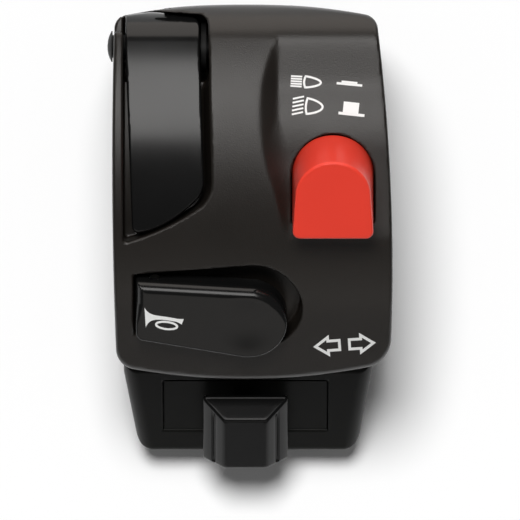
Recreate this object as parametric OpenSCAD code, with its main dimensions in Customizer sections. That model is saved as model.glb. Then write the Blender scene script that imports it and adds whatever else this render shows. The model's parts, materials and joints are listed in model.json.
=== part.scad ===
// Left-hand handlebar switch cluster, in millimetres.
// The origin is the centre of the handlebar bore. +X runs along the bar, towards the middle of the bike,
// +Y points forward and +Z up, out of the face with the controls.

/* [Handlebar clamp] */
// Diameter of the handlebar
bar_d = 22.2; // [22:0.1:25.4]
// Radial clearance of the bore on the bar
bar_clearance = 0.05; // [0.02:0.01:0.15]
// Wall of the saddle round the bar
saddle_wall = 1.9; // [1.5:0.1:2.5]
// Gap between the two shells, closed by the clamp screws
parting_gap = 0.3; // [0.2:0.05:0.6]
// Place of the clamp screws along the bar
screw_x = 2; // [0:0.5:4]
// Distance of each clamp screw from the bar's axis
screw_offset = 17; // [16.75:0.05:17.4]
// Shank diameter of the clamp screws
screw_d = 5; // [4:0.5:5.5]
// Head diameter of the clamp screws
screw_head_d = 8.5; // [8:0.25:9]
// Head height of the clamp screws
screw_head_h = 4; // [3:0.5:5]
// Length of the threaded inserts
insert_len = 8; // [6:0.5:9]
// Outer diameter of the threaded inserts
insert_d = 6.6; // [6.2:0.1:7]

/* [Upper shell] */
// Wall of both shells
wall = 2; // [1.6:0.1:2.4]
// Inner walls of the recess, the pocket and the bosses
rib = 1.6; // [1.2:0.1:2]
// Left side of the shell
left_x = -24.4; // [-25.5:0.1:-24]
// Right side of the shell at its widest
right_x = 24.5; // [24:0.1:26]
// Foremost point of the shell
front_y = 29; // [28.5:0.1:30]
// Rearmost point of the lip
lip_y = -36.6; // [-37.5:0.1:-36]
// Height of the lip above the bar's axis
lip_z = 8.8; // [8:0.1:9.5]
// Height of the crown of the top face
crown_z = 29; // [28.5:0.1:30]
// Place of the crown of the top face
crown_y = 12; // [10:0.5:13]
// Radius of the top face, front to rear
top_r = 70; // [66:1:76]
// Radius where the top face turns down to the front
corner_r = 7.5; // [7:0.1:8]
// Place of the crease between the top face and the rear band
crease_y = -24; // [-25:0.1:-23]
// Depth of the flat panel under the crown, on the right
panel_depth = 1.6; // [1.2:0.1:1.8]
// Left end of the flat panel
panel_x = 4.1; // [3.5:0.1:4.5]
// Run of the slanted step at the panel's left end
panel_step = 2.4; // [1.5:0.1:3]

/* [Lower shell] */
// Left side of the lower shell
lower_left_x = -22.6; // [-23:0.1:-22]
// Right side of the lower shell
lower_right_x = 21.1; // [20.8:0.1:22]
// Front of the lower shell
lower_front_y = 26.4; // [26:0.1:27]
// Underside of the lower shell
floor_z = -21; // [-22:0.25:-20.5]
// Top edge of the slanted thumb wall
thumb_top_y = -35.2; // [-35.6:0.1:-34.8]
// Lean of the thumb wall
thumb_tilt = 45; // [43:0.5:47]
// Length of the thumb wall down its slope
thumb_len = 20.4; // [20:0.1:21.5]
// Draw-in of the lower shell's sides at its rear end
side_draw = 4; // [3:0.25:4.5]

/* [Cold-start lever] */
// Drop of the lever's face below the shell
lever_drop = 1.2; // [0.8:0.1:1.5]
// Thickness of the lever's blade
lever_t = 3.2; // [2.6:0.1:3.6]
// Gap under the lever's blade
lever_gap = 0.5; // [0.4:0.05:0.8]
// Left side of the lever's recess
recess_left_x = -22.5; // [-22.8:0.05:-22.3]
// Right side of the recess at the front
recess_right_x = -7.8; // [-8.2:0.1:-7.5]
// Side clearance of the lever at the left
lever_side = 0.4; // [0.3:0.05:0.6]
// Side clearance of the lever at the right
lever_wash_gap = 1.35; // [1.2:0.05:1.6]
// Rear end of the recess at its left side
recess_tail_y = -12.9; // [-13.5:0.1:-12]
// Gap at the lever's tail
tail_gap = 1.7; // [1:0.1:2.2]
// Radius of the lever's pin
lever_pin_r = 2; // [1.6:0.1:2.2]
// Radius of the barrel nipple of the cold-start cable
nipple_r = 1.6; // [1.4:0.05:1.7]
// Length of the barrel nipple
nipple_len = 5; // [4:0.25:6]
// Radius of the cold-start cable's ferrule socket
ferrule_r = 2.6; // [2.2:0.1:3]
// Depth of the ferrule socket
ferrule_len = 6; // [5:0.5:8]

/* [Dip button] */
// Place of the button along the bar
dip_x = 14.05; // [13.8:0.05:14.2]
// Place of the button front to rear
dip_y = -1.5; // [-2:0.1:-1]
// Lean of the button towards the rear
dip_tilt = 24; // [22:0.5:26]
// Half width of the button
dip_r = 7.1; // [6.8:0.05:7.2]
// Straight length of the button below its arch
dip_straight = 8.2; // [7.8:0.1:8.6]
// Height of the raised button
dip_height = 8.4; // [7.5:0.1:9]
// Bevel round the button's arch
dip_bevel = 1.4; // [1:0.1:1.6]
// Travel of the button
dip_travel = 3.5; // [3:0.1:3.6]
// Radius of the plunger
plunger_r = 3.2; // [2.8:0.1:3.4]

/* [Horn paddle] */
// Lean of the paddle's face
horn_tilt = 30; // [28:0.5:32]
// Place of the paddle's face front to rear
horn_y = -27.05; // [-27.5:0.05:-26.5]
// Height of the paddle's face above the rear band
horn_proud = 1.8; // [1.5:0.1:2.2]
// Radius of the paddle's round end
horn_r = 6.8; // [6.5:0.05:7]
// Centre of the paddle's round end
horn_end_x = -0.7; // [-1:0.05:-0.4]
// Left end of the paddle
horn_left_x = -20.35; // [-20.5:0.05:-20]
// Depth of the paddle's skirt
horn_skirt = 4.5; // [4:0.1:4.7]
// Wall of the paddle
horn_wall = 1.5; // [1.2:0.1:1.7]
// Depth of the paddle's pocket
pocket_depth = 6.8; // [6.6:0.1:7.4]
// Pressing angle of the paddle
horn_angle = 4.5; // [3:0.25:4.75]
// Radius of the paddle's hinge pin
horn_pin_r = 0.9; // [0.8:0.05:1]

/* [Turn-signal switch] */
// Place of the knob along the bar
knob_x = -1.2; // [-1.6:0.1:-0.8]
// Distance of the window's middle down the thumb wall
window_s = 8.75; // [8.5:0.05:9]
// Width of the window
window_w = 28.9; // [28:0.1:29.5]
// Height of the window
window_h = 12.2; // [11.6:0.1:12.4]
// Slide of the knob to each side
knob_slide = 4.5; // [3.5:0.1:4.6]
// Push of the knob that cancels the signal
knob_push = 2; // [1.5:0.1:2]
// Width of the knob at its base
knob_base_w = 14.9; // [14.5:0.1:15.3]
// Width of the knob's face
knob_face_w = 7.7; // [7.4:0.1:8]
// Height of the knob's face above the thumb wall
knob_height = 6.4; // [6:0.1:6.8]
// Width of the knob's stem
stem_w = 4.6; // [4.2:0.1:4.8]
// Height of the knob's stem
stem_h = 4.2; // [3.8:0.1:4.4]

/* [Wire outlet] */
// Place of the wire outlet along the bar
outlet_x = 12; // [11.9:0.05:12.2]
// Height of the wire outlet
outlet_z = -10; // [-11:0.5:-9]
// Radius of the grommet's hole
outlet_r = 3.2; // [2.8:0.1:3.4]

/* [Hidden] */
$fn = 64;
far = 90;
fit = 0.05;
seat = 0.05;
slip = 0.3;
bore_r = bar_d / 2 + bar_clearance;
saddle_r = bore_r + saddle_wall;
join = 0.5;
merge = 0.1;
head_sink = 1;
thread_spare = 1;
hex_step = 0.9;
hex_land = 1.5;
front_chamfer = 3;

// Section of the upper shell in the plane across the bar
top_centre = [crown_y, crown_z - top_r];
pivot_y = front_y - corner_r;
pivot_z = top_centre.y + sqrt(pow(top_r - corner_r, 2) - pow(pivot_y - crown_y, 2));
pivot = [pivot_y, pivot_z];
crease_z = top_centre.y + sqrt(pow(top_r, 2) - pow(crease_y - crown_y, 2));
band_angle = atan2(crease_z - lip_z, crease_y - lip_y);

// Plan of the upper shell: four long arcs, each a centre and a radius, with rounded corners
front_arc_r = 114;
lip_arc_r = 111;
left_arc_r = 900;
right_arc_r = 350;
right_mid_y = -18;
arc_mid_x = -1.2;
plan_arcs = [
    [[arc_mid_x, front_y - front_arc_r], front_arc_r],
    [[left_x + left_arc_r, 0], left_arc_r],
    [[arc_mid_x, lip_y + lip_arc_r], lip_arc_r],
    [[right_x - right_arc_r, right_mid_y], right_arc_r]
];
plan_corners = [2.6, 3.6, 5.2, 2.8];

// Lever, its recess and its cable
lever_r = top_r - lever_drop;
hub_r = corner_r - lever_drop;
blade_r = lever_r - lever_t;
recess_r = blade_r - lever_gap;
hub_pocket_r = hub_r + lever_gap;
recess_lean = 0.8;
recess_tail_rise = 7.8;
recess_right_tail_y = recess_tail_y + recess_tail_rise;
recess_bend_run = 8.4;
recess_bend_rise = 2.7;
recess_bend = [recess_left_x + recess_bend_run, recess_tail_y + recess_bend_rise];
lever_x = [recess_left_x + lever_side, recess_right_x - lever_wash_gap];
lever_taper = 1.2;
lever_bend_shift = 0.6;
lever_heel = 0.4;
nipple_x = (lever_x[0] + lever_x[1]) / 2;
nipple_land = 0.6;
nipple_off = lever_pin_r + nipple_r + nipple_land;
cable_y = pivot_y - nipple_off;
cable_hole_r = 1.2;
pin_head_r = 2.7;
pin_head_t = 0.9;
pin_head_gap = 0.3;
pin_tail = 1.4;
clip_t = 0.6;
clip_groove = 0.5;
clip_gap = 0.3;
clip_play = 0.1;
clip_rim = 1.5;
washer_t = 0.9;
washer_rim = 2.2;
wall_at_pin = left_x + left_arc_r - sqrt(pow(left_arc_r, 2) - pow(pivot_y + pin_head_r, 2));
ridge_inner_x = recess_right_x + rib;

// Flat panel on the right: a chord of the top face
panel_lean = 3.8;
panel_dir = [sin(panel_lean), cos(panel_lean)];
panel_mid = top_centre + (top_r - panel_depth) * [-panel_dir.x, panel_dir.y];

// Dip button frame: its height where the button's axis meets the panel
dip_z = panel_mid.y + (dip_y - panel_mid.x) * tan(panel_lean);
dip_skirt = 2.2;
dip_wall = 1.5;
dip_roof = 1.8;
dip_slot = 0.25;
frame_top = dip_skirt + dip_travel + slip;
frame_plate = 0.9;
plunger_foot = 0.1;
plunger_low = frame_top + frame_plate + plunger_foot;
bridge_t = 0.4;
bridge_h = 2.6;
bridge_side = 0.5;
bridge_spare = 0.2;
frame_floor = plunger_low + bridge_t + dip_travel + bridge_spare;
frame_floor_t = 0.8;
frame_low = frame_floor + frame_floor_t;
frame_w = 14;
frame_v = 13;
frame_wall = 1.2;
ear_v = -10.4;
ear_x = 4.4;
ear_r = 2.2;
ear_rim = 0.4;
plunger_flange_z = 0.5;
plunger_flange_t = 1.2;
plunger_flange_r = 5.2;
small_screw_r = 1.1;
small_head_r = 1.9;
small_head_t = 1.2;
small_screw_len = 3.4;
dip_coil_t = 1.2;
dip_terminal_x = 4;
terminal_tail = 0.6;
terminal_pad = [0.6, 1.2];
wire_r = 0.35;
wire_v = -2;
wire_foot = 4;
wire_rise = 1;
wire_drop = 0.6;

// Horn paddle frame: its face stands above the rear band
horn_z = crease_z - (crease_y - horn_y) * tan(band_angle) + horn_proud / cos(band_angle);
horn_top_v = 8.1;
horn_low_v = -3.2;
horn_roof = 1.6;
horn_edge = 0.6;
crescent = [0, 3.2];
crescent_r = 8.6;
crescent_left_v = 9;
lug_w = 3;
horn_pin_x = horn_left_x + horn_wall + slip + lug_w / 2;
horn_pin_d = 3.2;
lug_t = 1.8;
lug_rise = 1.3;
lug_set = [0.6, 0.2];
lug_v = [horn_low_v + horn_wall + slip + lug_set[0], horn_top_v - horn_wall - slip - lug_t - lug_set[1]];
dimple_r = 13;
dimple_d = 0.8;
horn_spring_x = -7.5;
horn_spring_r = 2.4;
horn_coil_t = 0.8;
horn_contact_x = 1.2;
contact_r = 1.3;
contact_head_t = 0.6;
contact_tail = 1.2;
contact_rim = 0.7;
contact_spare = 0.15;
strip = [5.4, 4, 0.5];
tag = [2 * contact_r, 4, 0.6];
contact_gap = (horn_contact_x - horn_pin_x) * sin(horn_angle) + contact_spare;

// Turn-signal frame: its origin is the window's middle on the thumb wall
window_y = thumb_top_y - window_s * cos(thumb_tilt);
window_z = -window_s * sin(thumb_tilt);
plate_inset = 0.15;
plate_flange = 1.2;
plate_over = 1.3;
slot_spare = 0.1;
slot_half = stem_w / 2 + knob_slide + slip + slot_spare;
shutter_cover = 0.5;
shutter_half = slot_half + knob_slide + shutter_cover;
shutter_t = 1.2;
shutter_top = -wall - seat - plate_flange - slip;
shutter_h = 6.4;
block_w = 9;
block_depth = 5.5;
block_floor = shutter_top - block_depth;
block_floor_t = 0.8;
cancel_spring_len = 3.2;
stem_low = block_floor + block_floor_t + cancel_spring_len;
cancel_spring_r = [1.8, 1.2];
return_spring_r = [1.5, 0.9];
slide_bridge = [6, 2.4, 0.35];
bridge_room = 0.7;
base_top = block_floor - bridge_room;
base_t = 1.6;
base_w = 29;
base_h = 11.6;
stop_t = 1.2;
stop_h = 4;
column_r = 1.15;
column_at = [11.5, 4.5];
shank_r = 0.7;
base_head_rim = 0.6;
base_head_t = 0.9;
shank_spare = 0.1;
knob_spare = 0.5;
knob_low = knob_push + knob_spare;
knob_rim = 0.6;
knob_base_v = [5.3, -10.25];
knob_face_v = [2.7, -9.25];
groove_w = 0.9;
groove_d = 0.5;
terminal_x = 5.5;
terminal_w = 2.2;
terminal_t = 0.6;
terminal_len = 3;

// Wire outlet
grommet_lip = 0.7;
grommet_lip_t = 1.2;
grommet_neck = 1;
grommet_nose = 0.5;
outlet_boss = 1;

// Helpers

function unit(v) = v / norm(v);

// Point where two circles meet, on the given side of the line between their centres
function circles_meet(a, ra, b, rb, side) =
    let (d = norm(b - a), u = (b - a) / d, t = (ra * ra - rb * rb + d * d) / (2 * d))
    a + u * t + side * sqrt(ra * ra - t * t) * [-u.y, u.x];

// Centre of the rounded corner between arc i of the plan and the next one
function plan_corner(i) =
    let (a = plan_arcs[i], b = plan_arcs[(i + 1) % len(plan_arcs)], r = plan_corners[i])
    circles_meet(a[0], a[1] - r, b[0], b[1] - r, -1);

module along_x(x0, x1) {
    translate([x0, 0, 0]) rotate([90, 0, 90]) linear_extrude(x1 - x0) children();
}

module rod_x(x0, x1, r) {
    along_x(x0, x1) circle(r);
}

module slab(w, h, t) {
    translate([-w / 2, -h / 2, 0]) cube([w, h, t]);
}

module ring(outer, inner, h) {
    difference() {
        cylinder(r = outer, h = h);
        translate([0, 0, -1]) cylinder(r = inner, h = h + 2);
    }
}

module at_pivot() {
    translate([0, pivot_y, pivot_z]) children();
}

module at_dip() {
    translate([dip_x, dip_y, dip_z]) rotate([dip_tilt, 0, 0]) children();
}

module at_horn() {
    translate([0, horn_y, horn_z]) rotate([horn_tilt, 0, 0]) children();
}

module at_window() {
    translate([knob_x, window_y, window_z]) rotate([thumb_tilt, 0, 0]) children();
}

// Upper shell

module upper_plan(inset) {
    difference() {
        intersection_for (arc = plan_arcs) translate(arc[0]) circle(arc[1] - inset, $fn = 256);
        for (i = [0 : len(plan_arcs) - 1]) {
            c = plan_corner(i);
            a = unit(c - plan_arcs[i][0]);
            b = unit(c - plan_arcs[(i + 1) % len(plan_arcs)][0]);
            difference() {
                polygon([c, c + far / 6 * a, c + far / 3 * unit(a + b), c + far / 6 * b]);
                translate(c) circle(plan_corners[i] - inset);
            }
        }
    }
}

module upper_section(inset, base) {
    intersection() {
        union() {
            intersection() {
                translate(top_centre) circle(top_r - inset, $fn = 256);
                polygon([
                    [-far, base], [-far, far], pivot + far * unit(pivot - top_centre), pivot,
                    [front_y - inset, pivot_z], [front_y - inset, base]
                ]);
            }
            translate(pivot) circle(corner_r - inset);
        }
        translate([crease_y, crease_z]) rotate(band_angle)
            translate([-far, -2 * far - inset]) square(2 * far);
    }
}

module upper_form(inset, base) {
    intersection() {
        along_x(-far, far) upper_section(inset, base);
        translate([0, 0, base]) linear_extrude(far) upper_plan(inset);
    }
}

module recess_plan(grow) {
    polygon([
        [recess_left_x - grow, far], [recess_left_x - grow, recess_tail_y - grow],
        [recess_bend.x, recess_bend.y - grow],
        [recess_right_x + recess_lean + grow, recess_right_tail_y - grow], [recess_right_x + grow, far / 3],
        [recess_right_x + grow, far]
    ]);
}

module above_arc(r) {
    along_x(-far / 2, far / 2) difference() {
        translate([-far, -far / 2]) square([2 * far, 2 * far]);
        translate(top_centre) circle(r, $fn = 256);
    }
}

module recess_block(grow, deepen) {
    intersection() {
        translate([0, 0, pivot_z - far]) linear_extrude(2 * far) recess_plan(grow);
        union() {
            above_arc(recess_r - deepen);
            at_pivot() rod_x(-far / 2, 0, hub_pocket_r + deepen);
        }
    }
}

module horn_outline(grow) {
    translate([horn_end_x, 0]) circle(horn_r + grow);
    polygon([
        [horn_end_x, horn_r + grow], [horn_left_x - grow, horn_top_v + grow],
        [horn_left_x - grow, horn_low_v - grow], [horn_end_x, -horn_r - grow]
    ]);
}

module pocket_outline(grow) {
    horn_outline(horn_edge + grow);
    translate(crescent) circle(crescent_r + grow);
    polygon([
        [crescent.x, crescent.y + crescent_r + grow],
        [horn_left_x - horn_edge - grow, crescent_left_v + grow],
        [horn_left_x - horn_edge - grow, 0], [crescent.x, 0]
    ]);
}

module dip_outline(grow) {
    circle(dip_r + grow);
    translate([-dip_r - grow, -dip_straight - grow]) square([2 * (dip_r + grow), dip_straight + grow]);
}

module panel_block(grow) {
    translate([panel_x - grow, panel_mid.x, panel_mid.y]) rotate([panel_lean, 0, 0])
        translate([0, 0, -grow]) rotate([90, 0, 0]) linear_extrude(far, center = true)
            polygon([[0, 0], [far, 0], [far, far / 2], [-panel_step * far / 2 / panel_depth, far / 2]]);
}

module horn_lugs() {
    for (v = lug_v) at_horn() difference() {
        translate([horn_pin_x - lug_w / 2, v, -pocket_depth - rib / 2])
            cube([lug_w, lug_t, pocket_depth + rib / 2 - horn_pin_d + lug_rise]);
        translate([horn_pin_x, v - 1, -horn_pin_d]) rotate([-90, 0, 0])
            cylinder(r = horn_pin_r + fit / 2, h = lug_t + 2);
    }
}

module upper_housing() color("#2b2a2b") {
    difference() {
        union() {
            difference() {
                upper_form(0, 0);
                upper_form(wall, -1);
            }
            intersection() {
                upper_form(0, 0);
                union() {
                    recess_block(rib, rib);
                    panel_block(rib);
                    at_horn() translate([0, 0, -pocket_depth - rib])
                        linear_extrude(far / 3) pocket_outline(rib);
                    rod_x(-far / 2, far / 2, saddle_r);
                    for (side = [-1, 1]) translate([screw_x, side * screw_offset, 0])
                        cylinder(d = insert_d + 2 * rib, h = insert_len + rib);
                    at_dip() for (x = [-ear_x, ear_x]) translate([x, ear_v, -frame_top + seat])
                        cylinder(r = ear_r, h = far / 6);
                }
            }
        }
        rod_x(-far / 2, far / 2, bore_r);
        recess_block(0, 0);
        at_horn() translate([0, 0, -pocket_depth]) linear_extrude(far / 3) pocket_outline(0);
        panel_block(0);
        at_dip() translate([0, 0, -frame_top]) linear_extrude(far / 3) dip_outline(dip_slot);
        for (side = [-1, 1]) translate([screw_x, side * screw_offset, -1])
            cylinder(d = insert_d + 2 * seat, h = insert_len + 1 + 2 * seat);
        at_dip() for (x = [-ear_x, ear_x]) translate([x, ear_v, -frame_top - 1])
            cylinder(r = small_screw_r + seat, h = small_screw_len + 1 + seat);
        at_pivot() rod_x(-far / 2, ridge_inner_x + 1, lever_pin_r + fit / 2);
        translate([nipple_x, cable_y, saddle_r]) cylinder(r = cable_hole_r, h = pivot_z - saddle_r);
        at_horn() translate([horn_contact_x, 0, -pocket_depth - rib - 1])
            cylinder(r = contact_r + seat, h = rib + 2);
    }
    horn_lugs();
}

// Lower shell

module lower_plan(inset) {
    front = lower_front_y - inset;
    left = lower_left_x + inset;
    right = lower_right_x - inset;
    rear_y = thumb_top_y - thumb_len;
    polygon([
        [left + front_chamfer, front], [left, front - front_chamfer],
        [left, thumb_top_y], [left + side_draw, rear_y],
        [right - side_draw, rear_y], [right, thumb_top_y],
        [right, front - front_chamfer], [right - front_chamfer, front]
    ]);
}

module lower_section(inset, top) {
    intersection() {
        translate([-far, floor_z + inset]) square([2 * far, top - floor_z - inset]);
        translate([thumb_top_y, 0]) rotate(thumb_tilt)
            translate([-thumb_len + inset, -2 * far - inset]) square([3 * far, 2 * far]);
    }
}

module lower_form(inset, top) {
    intersection() {
        along_x(-far / 2, far / 2) lower_section(inset, top);
        translate([0, 0, floor_z - 1]) linear_extrude(far) lower_plan(inset);
    }
}

module lower_housing() color("#1d1c1d") {
    head_seat = floor_z + screw_head_h + head_sink;
    difference() {
        union() {
            difference() {
                lower_form(0, -parting_gap);
                lower_form(wall, 1);
            }
            intersection() {
                lower_form(0, -parting_gap);
                union() {
                    rod_x(-far / 2, far / 2, saddle_r);
                    for (side = [-1, 1]) translate([screw_x, side * screw_offset, floor_z])
                        cylinder(d = screw_head_d + 2 * rib + 2 * slip, h = -floor_z);
                    translate([nipple_x, cable_y, floor_z])
                        cylinder(r = ferrule_r + rib, h = ferrule_len + rib);
                    translate([outlet_x, lower_front_y - wall - rib, outlet_z]) rotate([-90, 0, 0])
                        cylinder(r = outlet_r + 2 * rib + outlet_boss, h = wall + rib);
                }
            }
        }
        rod_x(-far / 2, far / 2, bore_r);
        for (side = [-1, 1]) translate([screw_x, side * screw_offset, floor_z - 1]) {
            cylinder(d = screw_d + 2 * slip, h = far / 2);
            cylinder(d = screw_head_d + 2 * slip, h = head_seat - floor_z + 1);
        }
        translate([nipple_x, cable_y, floor_z - 1]) {
            cylinder(r = ferrule_r, h = ferrule_len + 1);
            cylinder(r = cable_hole_r, h = ferrule_len + rib + 2);
        }
        translate([outlet_x, lower_front_y - far / 3, outlet_z]) rotate([-90, 0, 0])
            cylinder(r = outlet_r + rib + seat, h = far / 2);
        at_window() translate([0, 0, -wall - 1]) slab(window_w, window_h, wall + 2);
    }
}

module clamp_screws() color("#b4b2ad") {
    head_z = floor_z + head_sink;
    for (side = [-1, 1]) translate([screw_x, side * screw_offset, 0]) difference() {
        union() {
            translate([0, 0, head_z + seat]) cylinder(d = screw_head_d, h = screw_head_h - seat);
            translate([0, 0, head_z + screw_head_h - seat])
                cylinder(d = screw_d, h = insert_len - thread_spare - head_z - screw_head_h + seat);
        }
        translate([0, 0, head_z - 1])
            cylinder(d = screw_d - hex_step, h = screw_head_h - hex_land + 1, $fn = 6);
    }
}

module clamp_inserts() color("#b08d4a") {
    for (side = [-1, 1]) translate([screw_x, side * screw_offset, seat])
        ring(insert_d / 2, screw_d / 2 + seat, insert_len);
}

// Cold-start lever

module lever_plan() {
    tail = recess_tail_y + tail_gap;
    polygon([
        [lever_x[0], far], [lever_x[0], pivot_y], [lever_x[0] + lever_taper, tail],
        [recess_bend.x + lever_bend_shift, recess_bend.y + tail_gap],
        [lever_x[1] + recess_lean, recess_right_tail_y + tail_gap - lever_heel],
        [lever_x[1], pivot_y], [lever_x[1], far]
    ]);
}

module choke_lever() color("#161616") difference() {
    intersection() {
        translate([0, 0, pivot_z - far]) linear_extrude(2 * far) lever_plan();
        along_x(-far / 2, 0) {
            translate(pivot) circle(hub_r);
            intersection() {
                translate(top_centre) difference() {
                    circle(lever_r, $fn = 256);
                    circle(blade_r, $fn = 256);
                }
                polygon([
                    [-far, 0], [-far, far], pivot + far * unit(pivot - top_centre), pivot, [pivot_y, 0]
                ]);
            }
        }
    }
    at_pivot() rod_x(-far / 2, 0, lever_pin_r + fit);
    at_pivot() translate([0, -nipple_off, 0])
        rod_x(nipple_x - nipple_len / 2 - slip, nipple_x + nipple_len / 2 + slip, nipple_r + fit);
    translate([nipple_x - cable_hole_r, cable_y - cable_hole_r, pivot_z - hub_r - 1])
        cube([2 * cable_hole_r, 2 * cable_hole_r, hub_r + 1]);
}

module lever_pin() color("#8f8f8d") at_pivot() {
    end_x = ridge_inner_x + clip_t + pin_tail;
    head_x = wall_at_pin - pin_head_gap;
    difference() {
        rod_x(head_x - merge, end_x, lever_pin_r);
        translate([ridge_inner_x + clip_gap - clip_play, 0, 0]) rotate([0, 90, 0])
            ring(lever_pin_r + 1, lever_pin_r - clip_groove, clip_t + 2 * clip_play);
    }
    intersection() {
        rod_x(head_x - pin_head_t, head_x, pin_head_r);
        translate([head_x - pin_head_t + 2 * pin_head_r, 0, 0]) sphere(2 * pin_head_r);
    }
}

module lever_friction_washer() color("#a9a9a6") at_pivot()
    translate([lever_x[1] + (lever_wash_gap - washer_t) / 2, 0, 0]) rotate([0, 90, 0])
        ring(lever_pin_r + washer_rim, lever_pin_r + fit, washer_t);

module lever_clip() color("#a9a9a6") at_pivot()
    translate([ridge_inner_x + clip_gap, 0, 0]) rotate([0, 90, 0]) difference() {
        ring(lever_pin_r + clip_rim, lever_pin_r - clip_groove + fit, clip_t);
        translate([0, -lever_pin_r + clip_groove - fit, -1])
            cube([far, 2 * (lever_pin_r - clip_groove + fit), clip_t + 2]);
    }

module cable_nipple() color("#b08d4a") at_pivot() translate([0, -nipple_off, 0])
    rod_x(nipple_x - nipple_len / 2, nipple_x + nipple_len / 2, nipple_r);

// Dip button

module dip_button() color("#e0402c") at_dip() difference() {
    union() {
        translate([0, 0, -dip_skirt]) linear_extrude(dip_skirt + dip_height - dip_bevel) dip_outline(0);
        translate([0, 0, dip_height - dip_bevel]) {
            cylinder(r1 = dip_r, r2 = dip_r - dip_bevel, h = dip_bevel);
            intersection() {
                rotate([90, 0, 0]) linear_extrude(dip_straight)
                    polygon([
                        [-dip_r, 0], [dip_r, 0],
                        [dip_r - dip_bevel, dip_bevel], [dip_bevel - dip_r, dip_bevel]
                    ]);
                translate([-far / 2, -dip_straight, -1]) cube([far, dip_straight, far]);
            }
        }
    }
    translate([0, 0, -dip_skirt - 1]) linear_extrude(dip_skirt + dip_height - dip_bevel - dip_roof + 1)
        dip_outline(-dip_wall);
}

module dip_plunger() color("#e8e4d8") at_dip() {
    top = dip_height - dip_bevel - dip_roof - seat;
    translate([0, 0, -plunger_low]) cylinder(r = plunger_r, h = plunger_low + top);
    translate([0, 0, plunger_flange_z]) cylinder(r = plunger_flange_r, h = plunger_flange_t);
}

module dip_spring() color("#a9a9a6") at_dip() translate([0, 0, -frame_top + seat])
    ring(plunger_r + slip + dip_coil_t, plunger_r + slip, frame_top + plunger_flange_z - 2 * seat);

module dip_frame() color("#d8d2c0") at_dip() difference() {
    union() {
        translate([0, 0, -frame_low]) slab(frame_w, frame_v, frame_low - frame_top);
        translate([0, 0, -frame_top - rib]) for (x = [-ear_x, ear_x]) translate([x, ear_v, 0]) {
            cylinder(r = ear_r + ear_rim, h = rib);
            translate([-ear_r - ear_rim, 0, 0])
                cube([2 * (ear_r + ear_rim), -ear_v - frame_v / 2 + join, rib]);
        }
    }
    translate([0, 0, -frame_floor])
        slab(frame_w - 2 * frame_wall, frame_v - 2 * frame_wall, frame_floor - frame_top - frame_plate);
    translate([0, 0, -frame_top - rib - 1]) cylinder(r = plunger_r + slip, h = rib + 2);
    for (x = [-ear_x, ear_x]) translate([x, ear_v, -frame_top - rib - 1])
        cylinder(r = small_screw_r + seat, h = rib + 2);
    for (x = [-1, 1]) translate([x * dip_terminal_x, 0, -frame_low - 1])
        slab(terminal_w + 2 * seat, terminal_t + 2 * seat, frame_floor_t + 2);
}

module dip_frame_screws() color("#b4b2ad") at_dip() for (x = [-ear_x, ear_x])
    translate([x, ear_v, -frame_top - rib - small_head_t - seat]) {
        cylinder(r = small_head_r, h = small_head_t);
        cylinder(r = small_screw_r, h = small_head_t + rib + small_screw_len);
    }

module dip_latch_wire() color("#a9a9a6") at_dip() {
    x = -frame_w / 2 - slip - wire_r;
    translate([x, wire_v, -frame_low + wire_rise]) {
        cylinder(r = wire_r, h = frame_low - frame_top - wire_rise - wire_drop);
        rotate([-90, 0, 0]) cylinder(r = wire_r, h = wire_foot);
        sphere(wire_r);
    }
}

module dip_bridge() color("#b08d4a") at_dip() translate([0, 0, -plunger_low - bridge_t - seat])
    slab(frame_w - 2 * (frame_wall + bridge_side), bridge_h, bridge_t);

module dip_terminals() color("#b08d4a") at_dip() for (x = [-1, 1])
    translate([x * dip_terminal_x, 0, -frame_low - terminal_tail]) {
        slab(terminal_w, terminal_t, frame_low - frame_floor + terminal_tail - seat);
        translate([0, 0, -bridge_t])
            slab(terminal_w + terminal_pad[0], terminal_t + terminal_pad[1], bridge_t + seat);
    }

// Horn paddle

module horn_button() color("#161616") at_horn() difference() {
    translate([0, 0, -horn_skirt]) linear_extrude(horn_skirt) horn_outline(0);
    translate([0, 0, -horn_skirt - 1]) linear_extrude(horn_skirt + 1 - horn_roof) horn_outline(-horn_wall);
    translate([horn_end_x, 0, dimple_r - dimple_d]) sphere(dimple_r);
    translate([horn_pin_x, -far / 2, -horn_pin_d]) rotate([-90, 0, 0])
        cylinder(r = horn_pin_r + fit, h = far);
}

module horn_hinge_pin() color("#8f8f8d") at_horn()
    translate([horn_pin_x, horn_low_v + slip, -horn_pin_d]) rotate([-90, 0, 0])
        cylinder(r = horn_pin_r, h = horn_top_v - horn_low_v - 2 * slip);

module horn_spring() color("#a9a9a6") at_horn()
    translate([horn_spring_x, 0, -pocket_depth + seat])
        ring(horn_spring_r, horn_spring_r - horn_coil_t, pocket_depth - horn_roof - 2 * seat);

module horn_moving_contact() color("#b08d4a") at_horn() {
    tip = -pocket_depth + contact_head_t + contact_gap;
    translate([horn_contact_x, 0, -horn_roof - strip.z - seat]) slab(strip.x, strip.y, strip.z);
    translate([horn_contact_x, 0, tip]) cylinder(r = contact_r, h = -horn_roof - strip.z - tip);
}

module horn_fixed_contact() color("#b08d4a") at_horn() translate([horn_contact_x, 0, 0]) {
    translate([0, 0, -pocket_depth + seat]) cylinder(r = contact_r + contact_rim, h = contact_head_t - seat);
    translate([0, 0, -pocket_depth - rib - contact_tail]) {
        cylinder(r = contact_r, h = rib + contact_tail + join);
        slab(tag.x, tag.y, tag.z);
    }
}

// Turn-signal switch

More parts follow.
